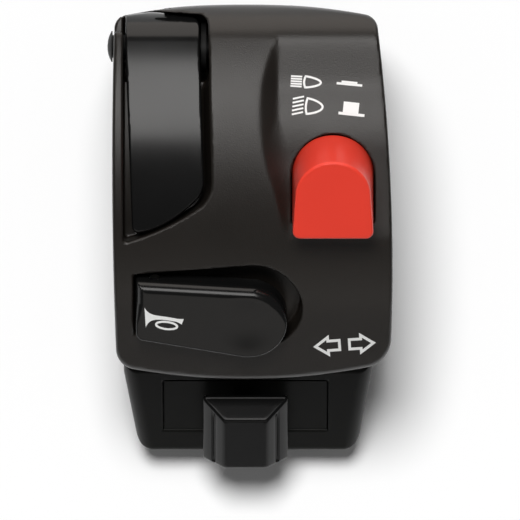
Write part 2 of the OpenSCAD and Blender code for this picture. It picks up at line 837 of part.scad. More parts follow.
module indicator_plate() color("#1d1c1d") at_window() {
    low = -wall - seat - plate_flange;
    difference() {
        union() {
            translate([0, 0, low]) slab(window_w - slip, window_h - slip, -low - plate_inset);
            translate([0, 0, low]) slab(window_w + 2 * plate_over, window_h + 2 * plate_over, plate_flange);
        }
        translate([0, 0, low - 1]) slab(2 * slot_half, stem_h + 2 * slip, far / 4);
        for (x = [-1, 1], v = [-1, 1]) translate([x * column_at.x, v * column_at.y, low - 1])
            cylinder(r = shank_r + seat, h = plate_flange + 2);
    }
}

module knob_front() {
    polygon([
        [-knob_base_w / 2, knob_low], [knob_base_w / 2, knob_low], [knob_base_w / 2, knob_low + knob_rim],
        [knob_face_w / 2, knob_height], [-knob_face_w / 2, knob_height],
        [-knob_base_w / 2, knob_low + knob_rim]
    ]);
}

module knob_side() {
    polygon([
        [knob_base_v[0], knob_low], [knob_face_v[0], knob_height],
        [knob_face_v[1], knob_height], [knob_base_v[1], knob_low]
    ]);
}

module indicator_knob() color("#19191a") at_window() {
    slope = atan2(knob_height - knob_low - knob_rim, (knob_base_w - knob_face_w) / 2);
    mid = [(knob_base_w + knob_face_w) / 4, (knob_height + knob_low + knob_rim) / 2];
    difference() {
        intersection() {
            rotate([90, 0, 0]) linear_extrude(far, center = true) knob_front();
            along_x(-far / 2, far / 2) knob_side();
        }
        for (side = [-1, 1]) translate([side * mid.x, 0, mid.y]) rotate([0, side * slope, 0])
            translate([-groove_w / 2, -far / 2, -groove_d]) cube([groove_w, far, far / 9]);
    }
    translate([0, 0, stem_low]) slab(stem_w, stem_h, knob_low - stem_low + join);
}

module indicator_carriage() color("#d8d2c0") at_window() difference() {
    union() {
        translate([0, 0, shutter_top - shutter_t]) slab(2 * shutter_half, shutter_h, shutter_t);
        translate([0, 0, block_floor]) slab(block_w, shutter_h, shutter_top - block_floor - merge);
    }
    translate([0, 0, block_floor + block_floor_t]) slab(stem_w + 2 * slip, stem_h + 2 * slip, far / 4);
}

module indicator_cancel_spring() color("#a9a9a6") at_window()
    translate([0, 0, block_floor + block_floor_t + seat])
        ring(cancel_spring_r[0], cancel_spring_r[1], stem_low - block_floor - block_floor_t - 2 * seat);

module indicator_return_springs() color("#a9a9a6") at_window() for (side = [-1, 1])
    translate([side * (block_w / 2 + seat), 0, (block_floor + shutter_top - shutter_t) / 2])
        rotate([0, side * 90, 0])
            ring(return_spring_r[0], return_spring_r[1], base_w / 2 - stop_t - block_w / 2 - 2 * seat);

module indicator_bridge() color("#b08d4a") at_window()
    translate([0, 0, block_floor - slide_bridge.z - seat])
        slab(slide_bridge.x, slide_bridge.y, slide_bridge.z);

module indicator_base() color("#c9c2ae") at_window() difference() {
    union() {
        translate([0, 0, base_top - base_t]) slab(base_w, base_h, base_t);
        for (x = [-1, 1], v = [-1, 1]) translate([x * column_at.x, v * column_at.y, base_top - merge])
            cylinder(r = column_r, h = -wall - 2 * seat - plate_flange - base_top + merge);
        for (side = [-1, 1]) translate([side * (base_w - stop_t) / 2, 0, base_top - merge])
            slab(stop_t, stop_h, shutter_top - shutter_t - slip - base_top + merge);
    }
    for (x = [-1, 1], v = [-1, 1]) translate([x * column_at.x, v * column_at.y, base_top - base_t - 1])
        cylinder(r = shank_r + seat, h = far / 3);
    for (x = [-1, 0, 1]) translate([x * terminal_x, 0, base_top - base_t - 1])
        slab(terminal_w + 2 * seat, terminal_t + 2 * seat, base_t + 2);
}

module indicator_terminals() color("#b08d4a") at_window() for (x = [-1, 0, 1])
    translate([x * terminal_x, 0, base_top - base_t - terminal_len])
        slab(terminal_w, terminal_t, base_t + terminal_len - seat);

module indicator_base_screws() color("#b4b2ad") at_window()
    for (x = [-1, 1], v = [-1, 1]) translate([x * column_at.x, v * column_at.y, base_top - base_t]) {
        translate([0, 0, -base_head_t - seat]) cylinder(r = shank_r + base_head_rim, h = base_head_t);
        translate([0, 0, -join])
            cylinder(r = shank_r, h = join + base_t - base_top - wall - plate_flange + shank_spare);
    }

module cable_grommet() color("#202020") translate([outlet_x, lower_front_y, outlet_z]) rotate([-90, 0, 0])
    difference() {
        union() {
            translate([0, 0, -wall - rib - grommet_neck])
                cylinder(r = outlet_r + rib, h = wall + rib + grommet_neck + grommet_nose);
            translate([0, 0, seat]) cylinder(r = outlet_r + rib + grommet_lip, h = grommet_lip_t);
            translate([0, 0, -wall - rib - grommet_lip_t - seat])
                cylinder(r = outlet_r + rib + grommet_lip, h = grommet_lip_t);
        }
        translate([0, 0, -far / 4]) cylinder(r = outlet_r, h = far / 2);
    }

upper_housing();
lower_housing();
clamp_screws();
clamp_inserts();
choke_lever();
lever_pin();
lever_friction_washer();
lever_clip();
cable_nipple();
dip_button();
dip_plunger();
dip_spring();
dip_frame();
dip_frame_screws();
dip_latch_wire();
dip_bridge();
dip_terminals();
horn_button();
horn_hinge_pin();
horn_spring();
horn_moving_contact();
horn_fixed_contact();
indicator_plate();
indicator_knob();
indicator_carriage();
indicator_cancel_spring();
indicator_return_springs();
indicator_bridge();
indicator_base();
indicator_terminals();
indicator_base_screws();
cable_grommet();
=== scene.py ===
"""Looks of a left-hand handlebar switch cluster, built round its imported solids, in millimetres."""
import json
import math

import bmesh
import bpy
import numpy as np
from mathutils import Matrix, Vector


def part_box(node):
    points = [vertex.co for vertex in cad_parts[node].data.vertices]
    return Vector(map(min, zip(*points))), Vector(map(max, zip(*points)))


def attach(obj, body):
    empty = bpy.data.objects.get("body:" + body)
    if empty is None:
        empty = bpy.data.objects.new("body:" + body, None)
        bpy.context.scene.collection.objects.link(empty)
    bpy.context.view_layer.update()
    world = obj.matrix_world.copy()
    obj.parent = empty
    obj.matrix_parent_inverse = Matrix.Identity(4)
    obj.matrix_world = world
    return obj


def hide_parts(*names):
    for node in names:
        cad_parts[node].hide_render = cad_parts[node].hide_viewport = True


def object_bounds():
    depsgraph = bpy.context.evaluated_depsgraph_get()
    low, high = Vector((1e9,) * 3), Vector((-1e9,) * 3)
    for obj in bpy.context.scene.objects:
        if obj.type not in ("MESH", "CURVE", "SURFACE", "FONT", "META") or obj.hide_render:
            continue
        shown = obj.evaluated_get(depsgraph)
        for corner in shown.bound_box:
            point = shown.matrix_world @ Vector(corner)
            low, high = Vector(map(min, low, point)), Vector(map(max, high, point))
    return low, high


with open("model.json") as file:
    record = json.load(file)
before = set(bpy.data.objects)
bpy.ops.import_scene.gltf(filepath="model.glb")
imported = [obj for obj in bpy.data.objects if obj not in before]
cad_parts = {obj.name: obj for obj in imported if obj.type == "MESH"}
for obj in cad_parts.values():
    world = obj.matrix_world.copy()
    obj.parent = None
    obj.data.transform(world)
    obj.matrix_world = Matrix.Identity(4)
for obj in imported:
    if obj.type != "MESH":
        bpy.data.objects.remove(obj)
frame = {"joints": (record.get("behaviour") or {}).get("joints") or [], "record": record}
CAD_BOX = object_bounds()

bl_info = {
    "name": "Handlebar switch cluster",
    "version": (1, 0, 0),
    "blender": (4, 5, 0),
    "location": "View3D > Sidebar > Switch cluster",
    "description": "Shells, controls, printed symbols and finishes of a handlebar switch cluster",
    "category": "Add Mesh",
}

MM = 0.001
JOINTS = {joint["name"]: joint for joint in frame["joints"]}


def joint_place(name):
    """Place of a joint in the frame, in millimetres."""
    return np.array(JOINTS[name]["pos_m"]) / MM


def node_box(name):
    """Lowest and highest corner of a CAD node, in millimetres."""
    low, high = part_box(name)
    return np.array(low) / MM, np.array(high) / MM


# Section of the upper shell across the bar, in Y and Z
TOP_CENTRE = (12.0, -41.0)
TOP_RADIUS = 70.0
CORNER_RADIUS = 7.5
PIVOT = joint_place("lever_swing")[1:]
FRONT_Y = PIVOT[0] + CORNER_RADIUS
CREASE_Y = -24.0
CREASE_Z = TOP_CENTRE[1] + math.sqrt(TOP_RADIUS ** 2 - (CREASE_Y - TOP_CENTRE[0]) ** 2)
LIP_Y = -36.6
LIP_Z = 8.8
BAND_ANGLE = math.atan2(CREASE_Z - LIP_Z, CREASE_Y - LIP_Y)
CREASE_EASE = 0.4

# Plan of the upper shell: four long arcs in turn, front, left, lip and right, and their corner radii
PLAN_ARCS = (((-1.2, -85.0), 114.0), ((875.6, 0.0), 900.0), ((-1.2, 74.4), 111.0), ((-325.5, -18.0), 350.0))
PLAN_CORNERS = (2.6, 3.6, 5.2, 2.8)

# Walls and bores that both shells share
WALL = 2.0
RIB = 1.6
BORE_RADIUS = 11.15
SADDLE_RADIUS = 13.05
SCREW_PLACES = ((2.0, -17.0), (2.0, 17.0))
INSERT_RADIUS = 3.35
INSERT_DEPTH = 8.1
CABLE_PLACE = (-15.625, 17.3)
CABLE_RADIUS = 1.2
SPLIT_EDGE = 0.25
BORE_EDGE = 0.4
HOLE_EDGE = 0.3
INNER_FILLET = 0.5
OVERRUN = 1.0

# Recess of the lever: plan points from its left wall round its tail to its right wall, and its floor
RECESS_LEFT = -22.5
RECESS_RIGHT = -7.8
RECESS_TAIL = ((-22.5, -12.9), (-14.1, -10.2), (-7.0, -5.1))
RECESS_FRONT = 30.0
RECESS_CORNERS = (1.0, 1.6, 2.2)
RECESS_LEANS = (0.15, 0.15, 0.23)
RECESS_LEAN_END = 17.0
RECESS_LEAN_FADE = 3.0
RECESS_MOUTH = ((-9.2, 27.0), (-15.28, 27.45))
RECESS_MOUTH_CORNER = 1.8
RECESS_FLOOR = 65.1
RECESS_FLOOR_EDGE = 0.4
RIM_END = 24.0
NOTCH_FLOOR = 22.5
NOTCH_SIDE = 0.3
NOTCH_EDGE = 0.4
HUB_POCKET = 6.8
HUB_POCKET_FRONT = 6.25
PIN_RADIUS = 2.025
PIN_END = -5.2

# Stretches along X, Y and Z where the upper shell has nothing small, so that its grid may be wider there
UPPER_CALM = ((), ((8.0, 23.5), (-19.0, -14.5)), ((-20.0, 12.5),))

# Lever: outer and inner radius of its blade, and its hub
LEVER_OUTER = 68.8
LEVER_INNER = 65.6
HUB_RADIUS = 6.34
HUB_SHIFT = 0.3

# Lever's plan: its left and right sides, how far each leans per length, and the curve of its tail
LEVER_LEFT = -22.1
LEVER_RIGHT = -9.15
LEVER_LEFT_TAPER = 0.0367
LEVER_RIGHT_TAPER = 0.0316
LEVER_TAIL = (-13.5, -8.5)
LEVER_TAIL_SLOPE = 0.688
LEVER_TAIL_BEND = 0.0437
LEVER_FRONT = ((-9.33, 26.5), (-15.28, 27.42))
LEVER_TAIL_CORNER = 1.2
LEVER_FRONT_CORNER = 1.5
LEVER_INSET = 0.1
LEVER_HOLE = 2.05
NIPPLE_SEAT = (1.65, 2.8)
CABLE_SLOT = (2.4, 2.4)

# Tilted frames of the dip button, the horn paddle and the turn-signal window: origin and tilt about X
DIP_FRAME = ((14.05, -1.5, 26.654), math.radians(24))
HORN_FRAME = ((0.0, -27.05, 18.875), math.radians(30))
WINDOW_FRAME = ((-1.2, -41.387, -6.187), math.radians(45))

# Horn paddle and its pocket, in the paddle's frame
HORN_END = (-0.7, 0.0)
HORN_RADIUS = 6.8
HORN_LEFT = -20.35
HORN_TOP = 8.1
HORN_LOW = -3.2
HORN_SKIRT = 4.5
HORN_ROOF = 1.6
HORN_WALL = 1.5
POCKET_EDGE = 0.35
POCKET_DEPTH = 6.8
CRESCENT = (0.0, 2.1)
CRESCENT_RADIUS = 8.6
CRESCENT_LEFT = 9.0
POCKET_FOOT = 0.4
RIVET_PLACE = (1.2, 0.0)
RIVET_HOLE = 1.35
RIVET_SPAN = (-9.4, -6.3)

# Thumb dimple and hinge pin of the paddle, across and out of its face
DIMPLE_RADIUS = 22.0
HORN_PIN = (-17.05, -3.2)
PADDLE_EDGE_LEAST = 0.25
PADDLE_EDGE_SPAN = (0.0, 4.0)
DIMPLE_RIM = 0.5
HORN_HOLE = 0.95
PADDLE_CORNERS = (0.6, 1.2)

# Dip button, in its frame
DIP_RADIUS = 7.1
DIP_STRAIGHT = 8.2
DIP_HEIGHT = 8.4
DIP_SKIRT = 2.45
DIP_SLOT = 0.15
DIP_CORNER = 1.4
DIP_CORNER_LEAST = 0.3
DIP_WALL = 1.35
DIP_ROOF = 1.8
DIP_BEVEL = 1.4
DIP_MIDDLE = -1.0
DIP_EDGE_RUN = 1.4
DIP_WALL_SHARES = (0, 0.02, 0.5, 0.98)
DIP_CAP_SHARES = (0.75, 0.5, 0.25, 0)
DIP_SLOT_DEPTH = 6.0
DIP_SLOT_EDGE = 0.25

# Posts of the dip switch's frame, in the button's frame, and the holes for their screws
POST_PLACES = ((-4.4, -10.4), (4.4, -10.4))
POST_RADIUS = 2.2
POST_FOOT = 5.95
POST_HOLE = 1.15
POST_HOLE_SPAN = (-7.0, -2.55)

# Scooped panel beside the crown: its front end, its valley, the crest behind that and its last slope
PANEL_X = 4.3
PANEL_FRONT = (22.6, 28.16)
PANEL_VALLEY = (14.3, 27.29)
PANEL_CREST = (9.5, 27.6)
PANEL_CURVE = 38.0
PANEL_EASE = 0.35
PANEL_FALL = math.tan(math.radians(9.5))
LENS_ENDS = (-7.8, 22.6)
LENS_SCALE = 10.8
LENS_POWERS = (1.15, 0.85)
LENS_EDGE = 0.3
LENS_FOOT = (2.6, 0.25)
LENS_FOOT_SPAN = (-4.0, 9.0)

# Turn-signal knob and its stem, in the window's frame
KNOB_BASE = 7.45
KNOB_FACE = 3.85
KNOB_LOW = 2.5
KNOB_RIM = 0.6
KNOB_HEIGHT = 6.4
KNOB_BASE_UP = 5.3
KNOB_BASE_LOW = -10.25
KNOB_FACE_UP = 2.7
KNOB_FACE_LOW = -9.25
GROOVE = (0.9, 0.5)
STEM = (4.6, 4.2)
STEM_LOW = -5.05
STEM_CORNER = 0.3
KNOB_CORNER = 0.6
KNOB_FOOT = 0.15
KNOB_CREASE = (0.12, 0.04)
KNOB_CAP_SHARES = (0.7, 0.4, 0)

# Groove in the knob's flanks: each step's place as a share of its half width, and how deep it is there
GROOVE_STEPS = ((1.25, 0), (1.0, 0.06), (0.85, 0.8), (0.6, 1))
GROOVE_CLEAR = 0.2

# Lower shell
LOWER_LEFT = -22.6
LOWER_RIGHT = 21.1
LOWER_FRONT = 26.4
FLOOR_Z = -21.0
FLOOR_GAP = 0.1
LOWER_TOP = -0.3
THUMB_TOP = -35.2
THUMB_LENGTH = 20.4
SIDE_DRAW = 4.0
FRONT_CHAMFER = 3.0
WINDOW_SIZE = (28.9, 12.2)
OUTLET = (12.0, -10.0)
LOWER_PLAN_EDGE = 0.6
LOWER_SECTION_EDGE = 1.0

# Bosses and holes of the lower shell: each a radius, and for some a height above its floor
FERRULE_BOSS = (4.2, 7.6)
FERRULE_HOLE = (2.6, 6.0)
SCREW_BOSS = 6.15
SCREW_HOLE = 2.8
SCREW_WELL = (4.55, 5.0)
OUTLET_BOSS = 7.4
OUTLET_HOLE = 4.85

# Printed symbols: two lamps with their rays, two signs of the button as bars, two arrows and a horn
LAMP_LENGTH = 2.7
LAMP_BOW = 0.22
LAMP_POWER = 1.5
LAMP_LINE = 0.36
RAYS = 5
RAY_GAP = 0.6
RAY_LINE = 0.3
HIGH_BEAM = {"centre": (9.25, 15.27), "half": 0.97, "ray": 1.95, "slant": 0, "step": 0.43, "angle": -3.4}
LOW_BEAM = {"centre": (9.55, 11.05), "half": 1.36, "ray": 2.0, "slant": 16, "step": 0.68, "angle": -4}
BUTTON_IN = (-5.6, (4.48, (16.92, 14.83), 0.4), (2.77, (16.92, 15.15), 0.44))
BUTTON_OUT = (-6, (4.55, (17.27, 9.62), 0.48), (2.73, (17.2, 10.75), 1.95))
ARROW = {"length": 4.2, "head": 2.2, "head_width": 2.95, "shaft_width": 1.65}
ARROW_LINE = 0.48
ARROW_PLACES = (((15.25, -30.62), 184.2), ((17.0, -30.5), 3.5))
TUBE_START = (-18.7, 1.45)
TUBE_RUN = 6.56
TUBE_RISE = 0.35
TUBE_BEND = 1.2
TUBE_WIDTH = 0.62
BELL_FLARE = 3.3
BELL_FADE = 9.0
TUBE_TIP = (0.5, 0.86)
LOOP_SIZE = (1.85, 0.72)
LOOP_PLACE = ((-14.96, -0.15), -8)
LOOP_LINE = 0.38

# Finishes that no setting holds: colours, and how far roughness drifts
NYLON = (0.72, 0.68, 0.58, 1)
RUBBER = (0.02, 0.02, 0.02, 1)
STEEL = (0.55, 0.55, 0.54, 1)
BRASS = (0.62, 0.45, 0.19, 1)
BLACK_OXIDE = (0.006, 0.006, 0.006, 1)
PLASTIC_DRIFT = (120.0, 0.06)
METAL_DRIFT = (400.0, 0.15)
GRAIN_DETAIL = 3.0
GRAIN_DEPTH = 0.00005
FLOOR_ROUGHNESS = 0.9

# Nodes that look darker than the rest of their slot
DARK_NODES = {"lever_pin": "black_oxide", "lever_friction_washer": "black_oxide", "dip_frame": "rubber"}

# Stage, in metres: the camera over the part, the boards with what they face, and the floor
CAMERA_PLACE = (0.00135, -0.01575)
SENSOR_WIDTH = 36.0
CLIP_END = 20.0
FLOOR_SIDE = 2.0
BOARDS = {
    "overhead": {"place": (-0.06, 0.0385, 1.1), "target": (-0.06, 0.0385, 0), "size": (0.66, 0.46),
                 "colour": (1, 0.985, 0.97)},
    "front_board": {"place": (0, 0.81, 0.4), "target": (0, 0, 0.015), "size": (1.6, 0.886),
                    "colour": (1, 0.93, 0.87)},
    "rear_board": {"place": (0, -1.2, 0.65), "target": (0, 0, 0.2), "size": (1.6, 0.6),
                   "colour": (1, 0.95, 0.9)},
}

# Grids: the step on the lever and the paddle, how points slide onto a surface, and points along curves
CONTROL_STEP = 0.3
SLIDE_ROUNDS = 4
LEAST_SLOPE = 0.2
MERGE_REACH = 2e-6
FLAT_REACH = 1e-7
ARCH_POINTS = 97
SIDE_POINTS = 16
FOOT_POINTS = 24
ROUND_POINTS = 9
BOX_POINTS = 10
KNOB_ROUND_POINTS = 7
LAMP_POINTS = 41
LAMP_BACK_POINTS = 15
BAR_POINTS = 8
TUBE_POINTS = 30
LOOP_POINTS = 48


def settings(name):
    """Settings group of that name on the scene."""
    return getattr(bpy.context.scene, "cluster_" + name)


# Signed distances, negative inside

def round_cut(a, b, radius):
    """Common part of two solids: the greater distance, with the edge between them rounded."""
    corner = np.hypot(np.maximum(a + radius, 0), np.maximum(b + radius, 0))
    return np.minimum(np.maximum(a, b), -radius) + corner


def round_join(a, b, radius):
    """Union of two solids: the lesser distance, with a fillet of the radius where they meet."""
    corner = np.hypot(np.maximum(radius - a, 0), np.maximum(radius - b, 0))
    return np.maximum(np.minimum(a, b), radius) - corner


def eased(a, b, ease):
    """Greater of two values, or the common part of two solids, smoothed over the ease where they meet."""
    return (a + b + np.hypot(a - b, ease)) / 2


def circle(a, b, centre, radius):
    """Distance from a circle: how far a point is from the centre, less the radius."""
    return np.hypot(a - centre[0], b - centre[1]) - radius


def half_plane(a, b, start, end):
    """Distance to the right of the line from start to end: the cross product with its direction."""
    along = np.subtract(end, start) / math.dist(start, end)
    return (a - start[0]) * along[1] - (b - start[1]) * along[0]


def slab(a, low, high):
    """Distance from the layer between two planes."""
    return np.maximum(low - a, a - high)


def box_section(a, b, centre, size):
    """Distance from a rectangle, as the greater of its two layers."""
    return np.maximum(np.abs(a - centre[0]) - size[0] / 2, np.abs(b - centre[1]) - size[1] / 2)


def local(y, z, place):
    """Coordinates up the slope and out of the face of a frame that is tilted about X."""
    (_, origin_y, origin_z), tilt = place
    up = (y - origin_y) * math.cos(tilt) + (z - origin_z) * math.sin(tilt)
    out = (z - origin_z) * math.cos(tilt) - (y - origin_y) * math.sin(tilt)
    return up, out


def world_points(points, place):
    """Points of a frame that is tilted about X, carried to the part's frame."""
    (origin_x, origin_y, origin_z), tilt = place
    across, up, out = np.moveaxis(points, -1, 0)
    y = origin_y + up * math.cos(tilt) - out * math.sin(tilt)
    z = origin_z + up * math.sin(tilt) + out * math.cos(tilt)
    return np.stack([origin_x + across, y, z], -1)


def circles_meet(a, radius_a, b, radius_b):
    """Point where two circles meet, on the left of the line from the first centre to the second."""
    span = math.dist(a, b)
    along = np.subtract(b, a) / span
    run = (radius_a ** 2 - radius_b ** 2 + span ** 2) / (2 * span)
    return np.array(a) + along * run + math.sqrt(radius_a ** 2 - run ** 2) * np.array([-along[1], along[0]])


def upper_section(y, z, inset):
    """Section of the upper shell: the arcs of crown and front corner, the front wall and the rear band."""
    top = circle(y, z, TOP_CENTRE, TOP_RADIUS - inset)
    front = y - FRONT_Y + inset
    ahead = PIVOT - np.array(TOP_CENTRE)
    in_corner = (z > PIVOT[1]) & (ahead[0] * (z - PIVOT[1]) < ahead[1] * (y - PIVOT[0]))
    section = np.where(in_corner, circle(y, z, PIVOT, CORNER_RADIUS - inset), np.maximum(top, front))
    band = (z - CREASE_Z) * math.cos(BAND_ANGLE) - (y - CREASE_Y) * math.sin(BAND_ANGLE) + inset
    return eased(section, band, CREASE_EASE)


def upper_plan(x, y, inset):
    """Plan of the upper shell: the greatest distance from its four arcs, with a circle at each corner."""
    plan = np.max([circle(x, y, centre, radius - inset) for centre, radius in PLAN_ARCS], axis=0)
    for corner, radius in enumerate(PLAN_CORNERS):
        first, first_radius = PLAN_ARCS[corner]
        second, second_radius = PLAN_ARCS[(corner + 1) % len(PLAN_ARCS)]
        place = circles_meet(first, first_radius - radius, second, second_radius - radius)
        from_first = place - first
        from_second = place - second
        across, along = x - place[0], y - place[1]
        past_first = from_first[0] * along > from_first[1] * across
        before_second = across * from_second[1] > along * from_second[0]
        plan = np.where(past_first & before_second, np.hypot(across, along) - max(radius - inset, 0), plan)
    return plan


def recess(x, y, z, grow, deepen):
    """Room of the lever: its plan, from four straight walls, above the arc of its floor and round its hub."""
    away = np.hypot(y - TOP_CENTRE[0], z - TOP_CENTRE[1])
    sunk = np.clip(TOP_RADIUS - away, 0, TOP_RADIUS - RECESS_FLOOR)
    sunk = sunk * np.clip((RECESS_LEAN_END - y) / RECESS_LEAN_FADE, 0, 1)
    corners = (*RECESS_TAIL, (RECESS_RIGHT, RECESS_FRONT))
    plan = RECESS_LEFT - grow - x
    for start, end, radius, lean in zip(corners, corners[1:], RECESS_CORNERS, RECESS_LEANS):
        plan = round_cut(plan, half_plane(x, y, start, end) - grow + lean * sunk, radius)
    above = RECESS_FLOOR - deepen - away
    hub = np.maximum(circle(y, z, PIVOT, HUB_POCKET + deepen), y - PIVOT[0] - HUB_POCKET_FRONT - deepen)
    mouth = round_cut(plan, half_plane(x, y, *RECESS_MOUTH) - grow, RECESS_MOUTH_CORNER)
    open_part = round_cut(mouth, np.minimum(above, hub), RECESS_FLOOR_EDGE)
    return np.minimum(open_part, np.maximum(plan, hub))


def rim_notch(x, y, z):
    """Notch in the front end of the rim on the lever's left."""
    return np.maximum(np.maximum(x - RECESS_LEFT - NOTCH_SIDE, RIM_END - y), NOTCH_FLOOR - z)


def horn_plan(across, up, grow):
    """Outline of the paddle: a disc and the tapered quadrilateral that runs from it to the left end."""
    disc = circle(across, up, HORN_END, HORN_RADIUS + grow)
    top = half_plane(across, up, (HORN_END[0], HORN_RADIUS), (HORN_LEFT, HORN_TOP))
    low = half_plane(across, up, (HORN_LEFT, HORN_LOW), (HORN_END[0], -HORN_RADIUS))
    arm = np.max([top - grow, low - grow, HORN_LEFT - grow - across, across - HORN_END[0]], axis=0)
    return np.minimum(disc, arm)


def pocket(x, y, z, grow):
    """Room of the paddle: its outline with an edge all round, and the crescent above its round end."""
    up, out = local(y, z, HORN_FRAME)
    crescent = circle(x, up, CRESCENT, CRESCENT_RADIUS + grow)
    left = HORN_LEFT - POCKET_EDGE
    top = half_plane(x, up, (CRESCENT[0], CRESCENT[1] + CRESCENT_RADIUS), (left, CRESCENT_LEFT))
    strip = np.max([top - grow, left - grow - x, x - CRESCENT[0], -up], axis=0)
    plan = np.minimum(np.minimum(horn_plan(x, up, POCKET_EDGE + grow), crescent), strip)
    return round_cut(plan, -out - POCKET_DEPTH - grow, POCKET_FOOT)


def panel_height(y):
    """Height of the scooped panel: a plane down to the valley, then a crest that ends in a straight fall.

    It is the higher of the two, eased where they cross.
    """
    slope = (PANEL_FRONT[1] - PANEL_VALLEY[1]) / (PANEL_FRONT[0] - PANEL_VALLEY[0])
    front = PANEL_VALLEY[1] + (y - PANEL_VALLEY[0]) * slope
    back = PANEL_CREST[0] - y
    turn = PANEL_FALL * PANEL_CURVE
    over = np.clip(back - turn, 0, None)
    crest = PANEL_CREST[1] - np.minimum(back, turn) ** 2 / (2 * PANEL_CURVE) - over * PANEL_FALL
    return eased(front, crest, PANEL_EASE)


def panel_wall(x, y, over):
    """Distance from the panel's slanted side wall, whose upper edge bows out like a lens."""
    length = LENS_ENDS[1] - LENS_ENDS[0]
    behind = np.clip((y - LENS_ENDS[0]) / length, 0, 1)
    width = LENS_SCALE * behind ** LENS_POWERS[0] * (1 - behind) ** LENS_POWERS[1]
    crown = TOP_CENTRE[1] + np.sqrt(TOP_RADIUS ** 2 - (y - TOP_CENTRE[0]) ** 2)
    run = width / np.maximum(crown - panel_height(y), LENS_EDGE)
    return -(x - PANEL_X + over * run) / np.hypot(1, run)


def lens_foot(y):
    """Radius of the fillet at the foot of the panel's side wall, which grows to the rear."""
    share = np.clip((y - LENS_FOOT_SPAN[0]) / (LENS_FOOT_SPAN[1] - LENS_FOOT_SPAN[0]), 0, 1)
    return LENS_FOOT[0] + (LENS_FOOT[1] - LENS_FOOT[0]) * share


def dip_plan(across, up, grow):
    """Outline of the dip button: a half disc above a square end with rounded corners."""
    arch = circle(across, up, (0, 0), DIP_RADIUS + grow)
    side = np.abs(across) - DIP_RADIUS - grow
    foot = round_cut(side, -DIP_STRAIGHT - grow - up, DIP_CORNER)
    return np.where(up > 0, arch, foot)


def upper_shell(x, y, z):
    """Upper shell: its hollowed form with the inner walls, less the bore, recess, pocket and holes."""
    edge = settings("shells").rim_radius
    lip = settings("shells").cut_radius
    form = round_cut(upper_section(y, z, 0), upper_plan(x, y, 0), edge)
    form = round_cut(form, -z, SPLIT_EDGE)
    cavity = np.maximum(np.maximum(upper_section(y, z, WALL), upper_plan(x, y, WALL)), -z - OVERRUN)
    shell = np.maximum(form, -cavity)
    dip_up, dip_out = local(y, z, DIP_FRAME)
    dip_x = x - DIP_FRAME[0][0]
    inner = [recess(x, y, z, RIB, RIB), pocket(x, y, z, RIB), np.hypot(y, z) - SADDLE_RADIUS]
    for place in SCREW_PLACES:
        inner.append(np.maximum(circle(x, y, place, INSERT_RADIUS + RIB), z - INSERT_DEPTH - RIB))
    for place in POST_PLACES:
        inner.append(np.maximum(circle(dip_x, dip_up, place, POST_RADIUS), -dip_out - POST_FOOT))
    over = z - panel_height(y) + RIB
    inner.append(np.maximum(panel_wall(x + RIB, y, over), -over))
    inner = np.min(inner, axis=0)
    shell = round_join(shell, np.maximum(inner, form), INNER_FILLET)
    shell = np.maximum(shell, form)
    shell = round_cut(shell, BORE_RADIUS - np.hypot(y, z), BORE_EDGE)
    shell = round_cut(shell, -recess(x, y, z, 0, 0), lip)
    shell = round_cut(shell, -rim_notch(x, y, z), NOTCH_EDGE)
    shell = round_cut(shell, -pocket(x, y, z, 0), lip)
    over = z - panel_height(y)
    shell = eased(shell, -round_cut(panel_wall(x, y, over), -over, lens_foot(y)), LENS_EDGE)
    button = np.maximum(dip_plan(dip_x, dip_up, DIP_SLOT), -dip_out - DIP_SLOT_DEPTH)
    shell = round_cut(shell, -button, DIP_SLOT_EDGE)
    holes = [np.maximum(circle(y, z, PIVOT, PIN_RADIUS), x - PIN_END)]
    holes.append(np.maximum(circle(x, y, CABLE_PLACE, CABLE_RADIUS), slab(z, SADDLE_RADIUS, PIVOT[1])))
    for place in SCREW_PLACES:
        holes.append(np.maximum(circle(x, y, place, INSERT_RADIUS), z - INSERT_DEPTH))
    for place in POST_PLACES:
        holes.append(np.maximum(circle(dip_x, dip_up, place, POST_HOLE), slab(dip_out, *POST_HOLE_SPAN)))
    horn_up, horn_out = local(y, z, HORN_FRAME)
    holes.append(np.maximum(circle(x, horn_up, RIVET_PLACE, RIVET_HOLE), slab(horn_out, *RIVET_SPAN)))
    return np.maximum(shell, -np.min(holes, axis=0))


def lower_form(x, y, z, inset):
    """Lower shell's outside: its floor, sides that draw in to the rear, thumb wall and end face."""
    corner = settings("shells").lower_radius
    rear = THUMB_TOP - THUMB_LENGTH
    front = y - LOWER_FRONT + inset
    sides = []
    for edge, turn in ((LOWER_LEFT, 1), (LOWER_RIGHT, -1)):
        near = (edge + turn * inset, THUMB_TOP)
        drawn = (edge + turn * (inset + SIDE_DRAW), rear)
        straight = (edge + turn * inset - x) * turn
        slant = half_plane(x, y, near, drawn) * turn
        chamfer = half_plane(x, y, (edge + turn * (inset + FRONT_CHAMFER), LOWER_FRONT - inset),
                             (edge + turn * inset, LOWER_FRONT - inset - FRONT_CHAMFER)) * turn
        sides.append(np.maximum(np.maximum(straight, slant), chamfer))
    plan = round_cut(np.maximum(*sides), front, LOWER_PLAN_EDGE)
    tilt = WINDOW_FRAME[1]
    thumb = z * math.cos(tilt) - (y - THUMB_TOP) * math.sin(tilt) + inset
    end = -(y - THUMB_TOP) * math.cos(tilt) - z * math.sin(tilt) - THUMB_LENGTH + inset
    section = round_cut(thumb, end, LOWER_SECTION_EDGE)
    section = round_cut(section, FLOOR_Z + inset - z, LOWER_SECTION_EDGE)
    return round_cut(plan, section, corner)


